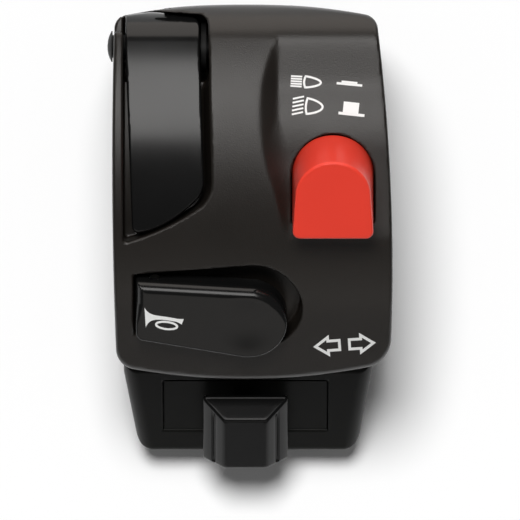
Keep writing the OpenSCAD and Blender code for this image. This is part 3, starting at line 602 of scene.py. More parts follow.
def lower_shell(x, y, z):
    """Lower shell: its hollowed form with its bosses, less the bore, screw wells, window and outlets."""
    form = round_cut(lower_form(x, y, z, 0), z - LOWER_TOP, SPLIT_EDGE)
    shell = np.maximum(form, -np.maximum(lower_form(x, y, z, WALL), z - OVERRUN))
    cable = np.hypot(x - CABLE_PLACE[0], y - CABLE_PLACE[1])
    outlet = circle(x, z, OUTLET, 0)
    above = z - FLOOR_Z
    bosses = [np.hypot(y, z) - SADDLE_RADIUS, np.maximum(cable - FERRULE_BOSS[0], above - FERRULE_BOSS[1])]
    bosses += [circle(x, y, place, SCREW_BOSS) for place in SCREW_PLACES]
    bosses.append(np.maximum(outlet - OUTLET_BOSS, LOWER_FRONT - WALL - RIB - y))
    shell = round_join(shell, np.maximum(np.min(bosses, axis=0), form), INNER_FILLET)
    shell = np.maximum(shell, form)
    shell = round_cut(shell, BORE_RADIUS - np.hypot(y, z), BORE_EDGE)
    holes = [np.maximum(cable - FERRULE_HOLE[0], above - FERRULE_HOLE[1]), cable - CABLE_RADIUS]
    holes.append(np.maximum(outlet - OUTLET_HOLE, -y))
    for place in SCREW_PLACES:
        away = circle(x, y, place, 0)
        holes += [away - SCREW_HOLE, np.maximum(away - SCREW_WELL[0], above - SCREW_WELL[1])]
    shell = round_cut(shell, -np.min(holes, axis=0), HOLE_EDGE)
    up, out = local(y, z, WINDOW_FRAME)
    opening = box_section(x - WINDOW_FRAME[0][0], up, (0, 0), WINDOW_SIZE)
    window = np.maximum(opening, slab(out, -WALL - OVERRUN, WALL))
    return round_cut(shell, -window, HOLE_EDGE)


def gradient(field, points, reach=0.02):
    """Slope of a field at points, from its differences across a small reach along each axis."""
    slopes = []
    for axis in range(3):
        shift = np.zeros(3)
        shift[axis] = reach
        ahead = field(*np.moveaxis(points + shift, -1, 0))
        behind = field(*np.moveaxis(points - shift, -1, 0))
        slopes.append((ahead - behind) / (2 * reach))
    return np.stack(slopes, -1)


def grid_axis(low, high, step, calm):
    """Grid places along one axis, a step apart, and two in the calm stretches, where nothing is small."""
    places = [low - 2 * step]
    while places[-1] < high + 2 * step:
        wide = any(start <= places[-1] < end for start, end in calm)
        places.append(places[-1] + step * (2 if wide else 1))
    return np.array(places)


def level_surface(field, low, high, step, calm):
    """Points, quads and normals of the surface where a signed distance is nought.

    Each cell of a grid that the surface crosses gets one point, the mean of the crossings on its edges.
    Each grid edge that it crosses gets a quad of the four cells round it. The points then slide down the
    field's slope onto the surface, and the slope there is the normal. A shell with a bore, a pocket and a
    window has no grid of two parameters, so it is made this way.
    """
    axes = [grid_axis(*stretch, step, wide) for *stretch, wide in zip(low, high, calm)]
    values = field(*np.meshgrid(*axes, indexing="ij"))
    cells = np.array(values.shape) - 1

    def corner(offset):
        """Slices that pick one corner of every cell."""
        return tuple(slice(start, start + size) for start, size in zip(offset, cells))

    total = np.zeros((*cells, 3))
    crossings = np.zeros(cells)
    for axis in range(3):
        for first in (0, 1):
            for second in (0, 1):
                near = np.insert([first, second], axis, 0)
                far = np.insert([first, second], axis, 1)
                before, after = values[corner(near)], values[corner(far)]
                cross = (before < 0) != (after < 0)
                share = np.where(cross, before / np.where(cross, before - after, 1), 0)
                total += np.where(cross[..., None], near, 0)
                total[..., axis] += share
                crossings += cross
    active = crossings > 0
    number = np.full(cells, -1)
    number[active] = np.arange(active.sum())
    places = np.argwhere(active) + total[active] / crossings[active][:, None]
    points = [np.interp(place, np.arange(len(axis)), axis) for place, axis in zip(places.T, axes)]
    points = np.stack(points, -1)
    quads = []
    for axis in range(3):
        ahead, second = [other for other in range(3) if other != axis]
        inner = [slice(1, -1)] * 3
        inner[axis] = slice(0, -1)
        outer = list(inner)
        outer[axis] = slice(1, None)
        start, end = values[tuple(inner)] < 0, values[tuple(outer)] < 0
        places = np.argwhere(start != end)
        places[:, ahead] += 1
        places[:, second] += 1
        turned = start[start != end] == (axis != 1)
        ring = []
        for back in ((1, 1), (0, 1), (0, 0), (1, 0)):
            cell = places.copy()
            cell[:, ahead] -= back[0]
            cell[:, second] -= back[1]
            ring.append(number[tuple(cell.T)])
        ring = np.stack(ring, -1)
        quads.append(np.where(turned[:, None], ring, ring[:, ::-1]))
    for _ in range(SLIDE_ROUNDS):
        slope = gradient(field, points)
        fall = field(*points.T) / np.maximum((slope ** 2).sum(-1), LEAST_SLOPE)
        points = points - slope * np.clip(fall, -step / 2, step / 2)[:, None]
    slope = gradient(field, points)
    return points, np.concatenate(quads), slope / np.linalg.norm(slope, axis=-1, keepdims=True)


# Meshes

def new_piece(name, points, faces, normals=None):
    """Mesh object from points in millimetres: doubles merged, faces outward and shaded smooth."""
    mesh = bpy.data.meshes.new(name)
    mesh.from_pydata((np.asarray(points).reshape(-1, 3) * MM).tolist(), [], faces)
    if normals is None:
        work = bmesh.new()
        work.from_mesh(mesh)
        bmesh.ops.remove_doubles(work, verts=work.verts, dist=MERGE_REACH)
        bmesh.ops.dissolve_degenerate(work, edges=work.edges, dist=FLAT_REACH)
        bmesh.ops.recalc_face_normals(work, faces=work.faces)
        work.to_mesh(mesh)
        work.free()
    mesh.shade_smooth()
    if normals is not None:
        mesh.normals_split_custom_set_from_vertices(normals.tolist())
    piece = bpy.data.objects.new(name, mesh)
    bpy.context.scene.collection.objects.link(piece)
    return piece


def grid_faces(rows, columns):
    """Quads of a grid of points whose columns close on themselves."""
    number = np.arange(rows * columns).reshape(rows, columns)
    beside = np.roll(number, -1, axis=1)
    return np.stack([number[:-1], beside[:-1], beside[1:], number[1:]], -1).reshape(-1, 4).tolist()


def finish_piece(piece, material, body, slot, *nodes):
    """Give a piece its material and the body it rides on, and hide the nodes that it stands for; the slot is
    not used.
    """
    piece.data.materials.append(material)
    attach(piece, body)
    if nodes:
        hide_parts(*nodes)
    return piece


def lever_form(x, y, z):
    """Lever: a blade between two arcs about the crown's centre and a round hub, inside its tapered plan.

    The pin's hole, the nipple's seat and the cable's slot give it a form that no single grid has.
    """
    edge = settings("controls").lever_edge
    away = np.hypot(y - TOP_CENTRE[0], z - TOP_CENTRE[1])
    blade = round_cut(away - LEVER_OUTER, LEVER_INNER - away, edge)
    hub = circle(y, z, (PIVOT[0] - HUB_SHIFT, PIVOT[1]), HUB_RADIUS)
    ahead = PIVOT - np.array(TOP_CENTRE)
    before = ahead[0] * (z - PIVOT[1]) > ahead[1] * (y - PIVOT[0])
    profile = np.where(before, np.minimum(blade, hub), hub)
    back = np.clip(PIVOT[0] - y, 0, None)
    left = LEVER_LEFT + LEVER_LEFT_TAPER * back - x
    right = x - LEVER_RIGHT - LEVER_RIGHT_TAPER * back
    across = x - LEVER_TAIL[0]
    slope = LEVER_TAIL_SLOPE + 2 * LEVER_TAIL_BEND * across
    tail = LEVER_TAIL[1] + LEVER_TAIL_SLOPE * across + LEVER_TAIL_BEND * across ** 2 - y
    tail = tail / np.hypot(1, slope)
    front = half_plane(x, y, *LEVER_FRONT)
    plan = round_cut(left, tail, LEVER_TAIL_CORNER)
    plan = round_cut(plan, round_cut(right, front, LEVER_FRONT_CORNER), LEVER_TAIL_CORNER)
    plan = np.maximum(plan, upper_plan(x, y, LEVER_INSET))
    form = round_cut(profile, plan, edge)
    seat = circle(y, z, (CABLE_PLACE[1], PIVOT[1]), NIPPLE_SEAT[0])
    nipple = np.maximum(seat, np.abs(x - CABLE_PLACE[0]) - NIPPLE_SEAT[1])
    cable = np.maximum(box_section(x, y, CABLE_PLACE, CABLE_SLOT), z - PIVOT[1])
    holes = np.minimum(np.minimum(circle(y, z, PIVOT, LEVER_HOLE), nipple), cable)
    return np.maximum(form, -holes)


def paddle_form(x, y, z):
    """Horn paddle: its outline between the face and the skirt's foot, with a round edge and a thumb dimple.

    The hole for its hinge pin gives it a form that no single grid has.
    """
    up, out = local(y, z, HORN_FRAME)
    rise = np.clip((up - PADDLE_EDGE_SPAN[0]) / (PADDLE_EDGE_SPAN[1] - PADDLE_EDGE_SPAN[0]), 0, 1)
    edge = settings("controls").paddle_edge * (PADDLE_EDGE_LEAST + (1 - PADDLE_EDGE_LEAST) * rise)
    plan = round_cut(paddle_plan(x, up), out, edge)
    sink = settings("controls").dimple_depth
    dimple = np.hypot(np.hypot(x - HORN_END[0], up - HORN_END[1]), out - DIMPLE_RADIUS + sink) - DIMPLE_RADIUS
    form = round_cut(plan, -dimple, DIMPLE_RIM)
    form = np.maximum(form, -HORN_SKIRT - out)
    cavity = np.maximum(paddle_plan(x, up) + HORN_WALL, out + HORN_ROOF)
    pin = circle(x, out, HORN_PIN, HORN_HOLE)
    return np.maximum(form, -np.minimum(cavity, pin))


def paddle_plan(across, up):
    """Outline of the paddle: its disc, the lines from its left corners that touch it, and its left end."""
    lines = []
    beyond = True
    x, y = across - HORN_END[0], up - HORN_END[1]
    for corner, turn in (((HORN_LEFT, HORN_TOP), 1), ((HORN_LEFT, HORN_LOW), -1)):
        lean = math.acos(HORN_RADIUS / math.dist(corner, HORN_END))
        aim = math.atan2(corner[1] - HORN_END[1], corner[0] - HORN_END[0]) - turn * lean
        lines.append(x * math.cos(aim) + y * math.sin(aim) - HORN_RADIUS)
        beyond = beyond & ((x * math.sin(aim) - y * math.cos(aim)) * turn > 0)
    arm = round_cut(lines[0], HORN_LEFT - across, PADDLE_CORNERS[0])
    arm = round_cut(arm, lines[1], PADDLE_CORNERS[1])
    return np.where(beyond, circle(across, up, HORN_END, HORN_RADIUS), arm)


def unit(angle):
    """Points of the unit circle at angles."""
    return np.stack([np.cos(angle), np.sin(angle)], -1)


def at_height(outline, height):
    """Outline in plan, lifted to a height."""
    return np.column_stack([outline, np.full(len(outline), height)])


def button_outline(inset, foot_inset):
    """Outline of the dip button moved inwards: its arch, left side, foot with its corners, and right side.

    The arch moves by one inset and the foot by another, and the sides lead from one to the other.
    """
    radius = DIP_RADIUS - inset
    half = DIP_RADIUS - foot_inset
    foot = foot_inset - DIP_STRAIGHT
    corner = max(DIP_CORNER - foot_inset, DIP_CORNER_LEAST)
    quarter = np.linspace(0, math.pi / 2, ROUND_POINTS)
    share = np.linspace(0, 1, SIDE_POINTS)[1:-1]
    side = np.stack([radius + (half - radius) * share, (foot + corner) * share], -1)
    run = np.linspace(-1, 1, FOOT_POINTS)[1:-1] * (half - corner)
    return np.concatenate([
        radius * unit(np.linspace(0, math.pi, ARCH_POINTS)),
        side * (-1, 1),
        (corner - half, foot + corner) + corner * unit(math.pi + quarter),
        np.stack([run, np.full(len(run), foot)], -1),
        (half - corner, foot + corner) + corner * unit(1.5 * math.pi + quarter),
        side[::-1],
    ])


def button_piece(material):
    """Dip button: rings of its outline from the roof of its hollow, down the inner wall and up the outer one.

    The outer wall draws in by the draft, less along the foot, and a small round leads to the face.
    """
    group = settings("controls")
    soft = group.button_edge
    draft, foot_draft = group.draft, group.draft_foot
    hollow = DIP_HEIGHT - DIP_BEVEL - DIP_ROOF
    face = group.button_height
    steps = [(DIP_WALL, DIP_WALL, hollow), (DIP_WALL, DIP_WALL, -DIP_SKIRT)]
    for share in DIP_WALL_SHARES:
        steps.append((draft * share, foot_draft * share, (face - soft + DIP_SKIRT) * share - DIP_SKIRT))
    for turn in np.linspace(0, math.pi / 2, ROUND_POINTS):
        reach = soft * (1 - math.cos(turn))
        steps.append((draft + reach, foot_draft + reach, face - soft + soft * math.sin(turn)))
    steps.append((draft + DIP_EDGE_RUN * soft, foot_draft + DIP_EDGE_RUN * soft, face))
    grid = [at_height(button_outline(inset, foot_inset), height) for inset, foot_inset, height in steps]
    roof_centre, face_centre = np.array([(0, DIP_MIDDLE, hollow), (0, DIP_MIDDLE, face)])
    roof = [roof_centre + (grid[0] - roof_centre) * share for share in reversed(DIP_CAP_SHARES)]
    cap = [face_centre + (grid[-1] - face_centre) * share for share in DIP_CAP_SHARES]
    grid = np.array(roof + grid + cap)
    piece = new_piece("red_button", world_points(grid, DIP_FRAME), grid_faces(*grid.shape[:2]))
    return finish_piece(piece, material, "dip", "red", "dip_button")


def rounded_box(half_width, low, high, radius):
    """Outline of a rectangle with round corners, anticlockwise, with as many points on every call."""
    quarter = np.linspace(0, math.pi / 2, BOX_POINTS)
    step = np.linspace(0, 1, BOX_POINTS + 2)[1:-1, None]
    side, up, down = half_width - radius, high - radius, low + radius
    centres = ((side, up), (-side, up), (-side, down), (side, down))
    arcs = [centre + radius * unit(index * math.pi / 2 + quarter) for index, centre in enumerate(centres)]
    parts = []
    for arc, after in zip(arcs, arcs[1:] + arcs[:1]):
        parts += [arc, arc[-1] + (after[0] - arc[-1]) * step]
    return np.concatenate(parts)


def knob_ring(height, inset):
    """Ring of the knob at a height: its ends lean in from the base up, and its sides from the rim up."""
    rise = (height - KNOB_LOW) / (KNOB_HEIGHT - KNOB_LOW)
    flank = np.clip((height - KNOB_LOW - KNOB_RIM) / (KNOB_HEIGHT - KNOB_LOW - KNOB_RIM), 0, 1)
    half = KNOB_BASE + (KNOB_FACE - KNOB_BASE) * flank - inset
    high = KNOB_BASE_UP + (KNOB_FACE_UP - KNOB_BASE_UP) * rise - inset
    low = KNOB_BASE_LOW + (KNOB_FACE_LOW - KNOB_BASE_LOW) * rise + inset
    return at_height(rounded_box(half, low, high, KNOB_CORNER), height)


def knob_piece(material):
    """Turn-signal knob: rings from the stem's foot to the base, up the grooved flanks and in to the face."""
    soft = settings("controls").knob_edge
    stem = rounded_box(STEM[0] / 2, -STEM[1] / 2, STEM[1] / 2, STEM_CORNER)
    grid = [at_height(stem * 0, STEM_LOW), at_height(stem, STEM_LOW), at_height(stem, KNOB_LOW)]
    rim = KNOB_LOW + KNOB_RIM
    drop, tuck = KNOB_CREASE
    grid += [knob_ring(KNOB_LOW, KNOB_FOOT), knob_ring(KNOB_LOW + KNOB_FOOT, 0)]
    grid += [knob_ring(rim - drop, 0), knob_ring(rim, tuck), knob_ring(rim + KNOB_FOOT, 0)]
    middle = (rim + KNOB_HEIGHT) / 2
    slope = math.atan2(KNOB_HEIGHT - rim, KNOB_BASE - KNOB_FACE)
    half_groove = GROOVE[0] / 2 * math.sin(slope)
    for share, sunk in [(-share, sunk) for share, sunk in GROOVE_STEPS] + list(reversed(GROOVE_STEPS)):
        row = knob_ring(middle + share * half_groove, 0)
        inside = (np.abs(row[:, 0]) > KNOB_FACE + GROOVE_CLEAR) & (row[:, 1] < KNOB_FACE_UP)
        row[inside, 0] -= np.sign(row[inside, 0]) * GROOVE[1] * sunk * math.sin(slope)
        row[inside, 2] -= GROOVE[1] * sunk * math.cos(slope)
        grid.append(row)
    grid.append(knob_ring(KNOB_HEIGHT - 2 * soft, 0))
    for share in np.linspace(0, 1, KNOB_ROUND_POINTS):
        grid.append(knob_ring(KNOB_HEIGHT - soft * (1 - share) ** 2, soft * share ** 2))
    last = knob_ring(KNOB_HEIGHT, soft + drop)
    centre = np.array([0, (KNOB_FACE_UP + KNOB_FACE_LOW) / 2, KNOB_HEIGHT])
    grid = np.array([*grid, last, *[centre + (last - centre) * share for share in KNOB_CAP_SHARES]])
    piece = new_piece("signal_knob", world_points(grid, WINDOW_FRAME), grid_faces(*grid.shape[:2]))
    return finish_piece(piece, material, "knob", "gloss_black", "indicator_knob")


# Printed symbols: strokes in plan that lie on a surface

def stroke(path, width, height, closed, thickness):
    """Points and faces of one stroke: a flat bar's section carried along a path on the surface.

    At each point the bar's two sides stand off along the mitre of the two legs that meet there.
    """
    path = np.asarray(path, float)
    width = np.broadcast_to(width, len(path))
    if closed:
        into = path - np.roll(path, 1, axis=0)
        away = np.roll(path, -1, axis=0) - path
    else:
        legs = np.diff(path, axis=0)
        into = np.concatenate([legs[:1], legs])
        away = np.concatenate([legs, legs[-1:]])
    into = into / np.linalg.norm(into, axis=1, keepdims=True)
    away = away / np.linalg.norm(away, axis=1, keepdims=True)
    mitre = np.stack([-into[:, 1] - away[:, 1], into[:, 0] + away[:, 0]], -1)
    mitre = mitre / (1 + (into * away).sum(1, keepdims=True))
    rim = []
    for side, level in ((1, 1), (-1, 1), (-1, -1), (1, -1)):
        place = path + side * mitre * width[:, None] / 2
        rim.append(np.column_stack([place, height(*place.T) + level * thickness]))
    points = np.stack(rim, 1)
    number = np.arange(points.shape[0] * 4).reshape(-1, 4)
    rows = np.concatenate([number, number[:1]]) if closed else number
    beside = np.roll(rows, -1, axis=1)
    faces = np.stack([rows[:-1], beside[:-1], beside[1:], rows[1:]], -1).reshape(-1, 4).tolist()
    if not closed:
        faces += [number[0].tolist(), number[-1][::-1].tolist()]
    return points.reshape(-1, 3), faces


def print_piece(name, strokes, height, place, material, body):
    """One printed mark from its strokes, each a path, its width and whether it closes."""
    thickness = settings("controls").print_thickness
    points, faces = [], []
    start = 0
    for path, width, closed in strokes:
        spots, quads = stroke(path, width, height, closed, thickness)
        points.append(spots)
        faces += [[index + start for index in quad] for quad in quads]
        start += len(spots)
    points = np.concatenate(points)
    if place is not None:
        points = world_points(points, place)
    piece = new_piece(name, points, faces)
    piece.data.shade_flat()
    return finish_piece(piece, material, body, None)


def turned(points, centre, angle):
    """Points turned about the origin and moved to a centre."""
    cosine, sine = unit(math.radians(angle))
    return np.asarray(points, float) @ np.array([(cosine, sine), (-sine, cosine)]) + np.asarray(centre)


def segment(length):
    """Straight path along X, centred on the origin."""
    run = np.linspace(-length / 2, length / 2, BAR_POINTS)
    return np.stack([run, run * 0], -1)


def lamp_outline(half):
    """Outline of a lamp: a bullet that narrows to the right, closed by a bowed line at the left."""
    turn = np.linspace(-math.pi / 2, math.pi / 2, LAMP_POINTS)
    nose = np.stack([LAMP_LENGTH * np.cos(turn) ** LAMP_POWER, half * np.sin(turn)], -1)
    back = np.linspace(1, -1, LAMP_BACK_POINTS)[1:-1]
    rear = np.stack([-LAMP_BOW * (1 - back ** 2), half * back], -1)
    return np.concatenate([nose, rear])


def beam_strokes(centre, half, ray, slant, step, angle):
    """Lamp of a half height and its rays of a length, slant and step, turned together by the angle."""
    strokes = [(turned(lamp_outline(half), centre, angle), LAMP_LINE, True)]
    for row in range(RAYS):
        place = np.array([-RAY_GAP - ray / 2, (row - (RAYS - 1) / 2) * step])
        strokes.append((turned(turned(segment(ray), place, slant), centre, angle), RAY_LINE, False))
    return strokes


def bar_strokes(angle, *bars):
    """Bars that lie at one angle, each of a length, a place and a width."""
    return [(turned(segment(length), place, angle), width, False) for length, place, width in bars]


def horn_strokes():
    """Horn: a tube along a shallow curve, with a flared bell and a thick tip, and an oval loop."""
    run = np.linspace(0, 1, TUBE_POINTS)
    across = TUBE_START[0] + TUBE_RUN * run
    tube = np.stack([across, TUBE_START[1] + TUBE_RISE * run - TUBE_BEND * run ** 2], -1)
    tip, tip_start = TUBE_TIP
    tip_width = tip * np.clip((run - tip_start) / (1 - tip_start), 0, 1)
    width = TUBE_WIDTH + BELL_FLARE * np.exp(-run * BELL_FADE) + tip_width
    loop = LOOP_SIZE * unit(np.linspace(0, 2 * math.pi, LOOP_POINTS, endpoint=False))
    return [(tube, width, False), (turned(loop, *LOOP_PLACE), LOOP_LINE, True)]


def arrow_outline(length, head, head_width, shaft_width):
    """Outline of an arrow that points along X, from the middle of its stroke."""
    notch = length - head
    upper = [(notch, head_width / 2), (notch, shaft_width / 2), (0, shaft_width / 2)]
    return [(length, 0), *upper, *[(x, -y) for x, y in reversed(upper)]]


def panel_print_height(x, y):
    """Height of the scooped panel, which is the same all along the bar."""
    return panel_height(y)


def band_height(x, y):
    """Height of the rear band's plane."""
    return CREASE_Z + (y - CREASE_Y) * math.tan(BAND_ANGLE)


def flat_height(x, y):
    """Height of a frame's own face."""
    return x * 0


# Materials

class Socket:
    """A node's output that takes part in Python sums: each operator adds a Math node and gives its output."""

    def __init__(self, tree, socket):
        self.tree = tree
        self.socket = socket

    def math(self, operation, *others):
        """Output of a Math node of that operation on this output and the others."""
        return node(self.tree, "ShaderNodeMath", {"operation": operation}, dict(enumerate((self, *others))))

    def __add__(self, other):
        return self.math("ADD", other)

    def __sub__(self, other):
        return self.math("SUBTRACT", other)

    def __rsub__(self, other):
        return node(self.tree, "ShaderNodeMath", {"operation": "SUBTRACT"}, {0: other, 1: self})

    def __mul__(self, other):
        return self.math("MULTIPLY", other)

    __radd__ = __add__
    __rmul__ = __mul__


def node(tree, kind, options, inputs, output=0):
    """New node of a kind: its options first, then its sockets' values and links, and one output wrapped."""
    made = tree.nodes.new(kind)
    for name, value in options.items():
        setattr(made, name, value)
    for name, value in inputs.items():
        if isinstance(value, Socket):
            tree.links.new(value.socket, made.inputs[name])
        else:
            made.inputs[name].default_value = value
    return Socket(tree, made.outputs[output])


def mix(tree, share, first, second):
    """Colour between two colours."""
    return node(tree, "ShaderNodeMix", {"data_type": "RGBA"}, {0: share, 6: first, 7: second}, 2)


def noise(tree, scale, detail=2.0):
    """Noise over the piece, at a scale per metre."""
    place = node(tree, "ShaderNodeTexCoord", {}, {}, "Object")
    return node(tree, "ShaderNodeTexNoise", {}, {"Vector": place, "Scale": scale, "Detail": detail})


def bump(tree, height, strength, distance):
    """Bump normal from a height."""
    return node(tree, "ShaderNodeBump", {}, {"Height": height, "Strength": strength, "Distance": distance})


MATERIALS = {}


def new_material(name, inputs_of, **constants):
    """Principled material: constants on the shader's sockets, and what inputs_of links for its tree."""
    material = bpy.data.materials.new(name)
    material.use_nodes = True
    tree = material.node_tree
    shader = tree.nodes["Principled BSDF"]
    for socket, value in constants.items():
        shader.inputs[socket.replace("_", " ")].default_value = value
    for socket, value in inputs_of(tree).items():
        tree.links.new(value.socket, shader.inputs[socket])
    MATERIALS[name] = material
    return material


def plastic(name, colour, roughness, grain=0.0, grain_scale=3000.0, spread=0.1, specular=0.4):
    """Moulded plastic: a faint drift of colour, a drift of roughness and a fine grain."""
    scale, drift_reach = PLASTIC_DRIFT

    def inputs(tree):
        """Colour, roughness and normal for the shader."""
        drift = noise(tree, scale)
        dark = (*[part * (1 - spread) for part in colour[:3]], 1)
        pale = (*[part * (1 + spread) for part in colour[:3]], 1)
        links = {"Base Color": mix(tree, drift, dark, pale)}
        links["Roughness"] = roughness + (drift - 0.5) * drift_reach
        if grain > 0:
            links["Normal"] = bump(tree, noise(tree, grain_scale, GRAIN_DETAIL), grain, GRAIN_DEPTH)
        return links

    return new_material(name, inputs, Specular_IOR_Level=specular)


def metal(name, colour, roughness):
    """Plated or stamped metal with a drift of roughness."""
    scale, drift_reach = METAL_DRIFT

    def inputs(tree):
        """Roughness for the shader."""
        return {"Roughness": roughness + (noise(tree, scale) - 0.5) * drift_reach}

    return new_material(name, inputs, Base_Color=colour, Metallic=1.0)


def floor_material():
    """Pale floor: white to the camera and in mirror views of it, and a plain pale surface to the light."""
    group = settings("stage")

    def inputs(tree):
        """Glow for the shader, on rays from the camera, from a mirror and through glass."""
        rays = [node(tree, "ShaderNodeLightPath", {}, {}, "Is " + kind + " Ray")
                for kind in ("Camera", "Glossy", "Transmission")]
        seen = rays[0].math("MAXIMUM", rays[1]).math("MAXIMUM", rays[2])
        return {"Emission Color": mix(tree, seen, (0, 0, 0, 1), (*[group.floor_lift] * 3, 1))}

    return new_material("floor", inputs, Base_Color=group.floor_colour, Roughness=FLOOR_ROUGHNESS,
                        Specular_IOR_Level=0.0, Emission_Strength=1.0)


def make_materials():
    """Every material of the cluster, by name."""
    group = settings("finish")
    plastic("housing_black", group.housing, group.housing_roughness, grain=0.5, grain_scale=4200.0,
            spread=0.12, specular=0.5)
    # The lower shell's darker black holds painted shade from the lip's overhang and its downward faces
    plastic("lower_black", group.lower, group.lower_roughness, grain=0.15, grain_scale=4200.0, specular=0.12)
    plastic("gloss_black", group.gloss, group.gloss_roughness)
    plastic("knob_black", group.gloss, group.gloss_roughness, specular=0.2)
    plastic("red", group.red, group.red_roughness, grain=0.05, spread=0.03)
    plastic("print", group.print_colour, group.print_roughness, spread=0.02, specular=0.3)
    plastic("nylon", NYLON, group.nylon_roughness, grain=0.1, grain_scale=2500.0, spread=0.03, specular=0.5)
    plastic("rubber", RUBBER, group.rubber_roughness, grain=0.3)
    plastic("black_oxide", BLACK_OXIDE, group.oxide_roughness, grain=0.1, specular=0.2)
    metal("steel", STEEL, group.metal_roughness)
    metal("brass", BRASS, group.metal_roughness)


def material(name):
    """Material of that name, made with the rest on first use."""
    if name not in MATERIALS:
        make_materials()
    return MATERIALS[name]


# Settings

def amount(name, description, default, least=0.0):
    """Setting that is a plain number, such as a size in millimetres or a brightness."""
    return bpy.props.FloatProperty(name=name, description=description, default=default, min=least)


def distance(name, description, default):
    """Setting that is a distance in metres."""
    return bpy.props.FloatProperty(name=name, description=description, default=default, min=0,
                                   subtype="DISTANCE", unit="LENGTH")


def roughness_of(name, default):
    """Setting that is a roughness."""
    return bpy.props.FloatProperty(name=name, description="Roughness", default=default, min=0, max=1,
                                   subtype="FACTOR")


def colour_of(name, description, default):
    """Setting that is a colour."""
    return bpy.props.FloatVectorProperty(name=name, description=description, default=default, min=0, max=1,
                                         subtype="COLOR", size=4)


class ShellSettings(bpy.types.PropertyGroup):
    """Rounding of the two shells, in millimetres."""

    rim_radius: amount("Rim", "Radius of the upper shell's rim", 0.6, 0.1)
    cut_radius: amount("Cuts", "Radius at recess and pocket", 0.45, 0.1)
    lower_radius: amount("Lower", "Radius of the lower shell", 2.4, 0.1)
    upper_step: amount("Upper grid", "Grid of the upper shell", 0.42, 0.2)
    lower_step: amount("Lower grid", "Grid of the lower shell", 0.52, 0.2)


class ControlSettings(bpy.types.PropertyGroup):
    """Edges and prints of the controls, in millimetres."""

    lever_edge: amount("Lever edge", "Radius of its edges", 0.4, 0.05)
    paddle_edge: amount("Paddle edge", "Radius of its upper edge", 1.9, 0.05)
    dimple_depth: amount("Dimple", "Depth of the thumb dimple", 0.4, 0.05)
    button_height: amount("Button", "Height of its face", 8.08, 4)
    draft: amount("Draft", "How far the button's wall draws in", 0.55)
    draft_foot: amount("Foot draft", "Draft along the button's foot", 0.08)
    button_edge: amount("Button edge", "Radius of its edges", 0.5, 0.05)
    knob_edge: amount("Knob edge", "Radius of the knob's face", 0.4, 0.05)
    print_thickness: amount("Print", "Half its thickness", 0.04, 0.01)


class FinishSettings(bpy.types.PropertyGroup):
    """Colours and roughness of what shows."""

    housing: colour_of("Upper shell", "Colour", (0.0105, 0.0086, 0.007, 1))
    housing_roughness: roughness_of("Upper roughness", 0.34)
    # Lower shell's colour is set darker than the upper shell's; the difference is painted shade from the
    # lip's overhang and the walls that face down
    lower: colour_of("Lower shell", "Colour", (0.004, 0.0042, 0.0036, 1))
    lower_roughness: roughness_of("Lower roughness", 0.38)
    gloss: colour_of("Gloss black", "Colour", (0.005, 0.005, 0.005, 1))
    gloss_roughness: roughness_of("Gloss roughness", 0.19)
    red: colour_of("Red", "Colour of the dip button", (0.86, 0.053, 0.03, 1))
    red_roughness: roughness_of("Red roughness", 0.3)
    print_colour: colour_of("Print", "Colour of the symbols", (0.9, 0.9, 0.88, 1))
    print_roughness: roughness_of("Print roughness", 0.5)
    nylon_roughness: roughness_of("Nylon roughness", 0.5)
    rubber_roughness: roughness_of("Rubber roughness", 0.75)
    oxide_roughness: roughness_of("Black oxide roughness", 0.5)
    metal_roughness: roughness_of("Metal roughness", 0.35)


class StageSettings(bpy.types.PropertyGroup):
    """Camera, lights and floor."""

    height: distance("Camera height", "Above the bar's axis", 3.0)
    view_width: distance("View width", "Width of the view", 0.091)
    aim_height: distance("Aim height", "Height at which the width holds", 0.012)
    overhead: amount("Overhead", "Brightness of the soft box", 4.9)
    front_board: amount("Front", "Brightness of the front board", 1.7)
    rear_board: amount("Rear", "Brightness of the rear board", 0.6)
    key: amount("Key", "Strength of the key light", 3.25)
    key_angle: bpy.props.FloatProperty(name="Key angle", description="Width of the key light", min=0,
                                       default=math.radians(24), subtype="ANGLE", unit="ROTATION")
    key_from: bpy.props.FloatVectorProperty(name="Key from", description="Direction that the key shines from",
                                            subtype="DIRECTION", default=(-0.08, 0.4, 1))
    world: amount("World", "Brightness of the surroundings", 0.08)
    floor_colour: colour_of("Floor", "Colour of the floor", (0.92, 0.92, 0.92, 1))
    floor_lift: amount("Floor lift", "Glow of the floor to the camera", 0.05)


# Operators

class ClusterOperator(bpy.types.Operator):
    """Common form of the cluster's operators."""

    bl_options = {"REGISTER", "UNDO"}


def level_piece(name, field, node_name, step, slot, body, calm=((), (), ())):
    """Piece from a signed distance, over the box of the node that it stands for."""
    low, high = node_box(node_name)
    points, quads, normals = level_surface(field, low, high, step, calm)
    piece = new_piece(name, points, quads.tolist(), normals)
    return finish_piece(piece, material(slot), body, slot, node_name)


class OBJECT_OT_cluster_shells(ClusterOperator):
    """Make the upper and the lower shell."""

    bl_idname = "object.cluster_shells"
    bl_label = "Shells"

    def execute(self, context):
        group = settings("shells")
        level_piece("upper_shell", upper_shell, "upper_housing", group.upper_step, "housing_black", "housing",
                    UPPER_CALM)
        level_piece("lower_shell", lower_shell, "lower_housing", group.lower_step, "lower_black", "housing")
        return {"FINISHED"}


class OBJECT_OT_cluster_controls(ClusterOperator):
    """Make the lever, the paddle, the red button and the knob."""

    bl_idname = "object.cluster_controls"
    bl_label = "Controls"

    def execute(self, context):
        level_piece("cold_start_lever", lever_form, "choke_lever", CONTROL_STEP, "gloss_black", "lever")
        level_piece("horn_paddle", paddle_form, "horn_button", CONTROL_STEP, "gloss_black", "horn")
        button_piece(material("red"))
        knob_piece(material("knob_black"))
        return {"FINISHED"}


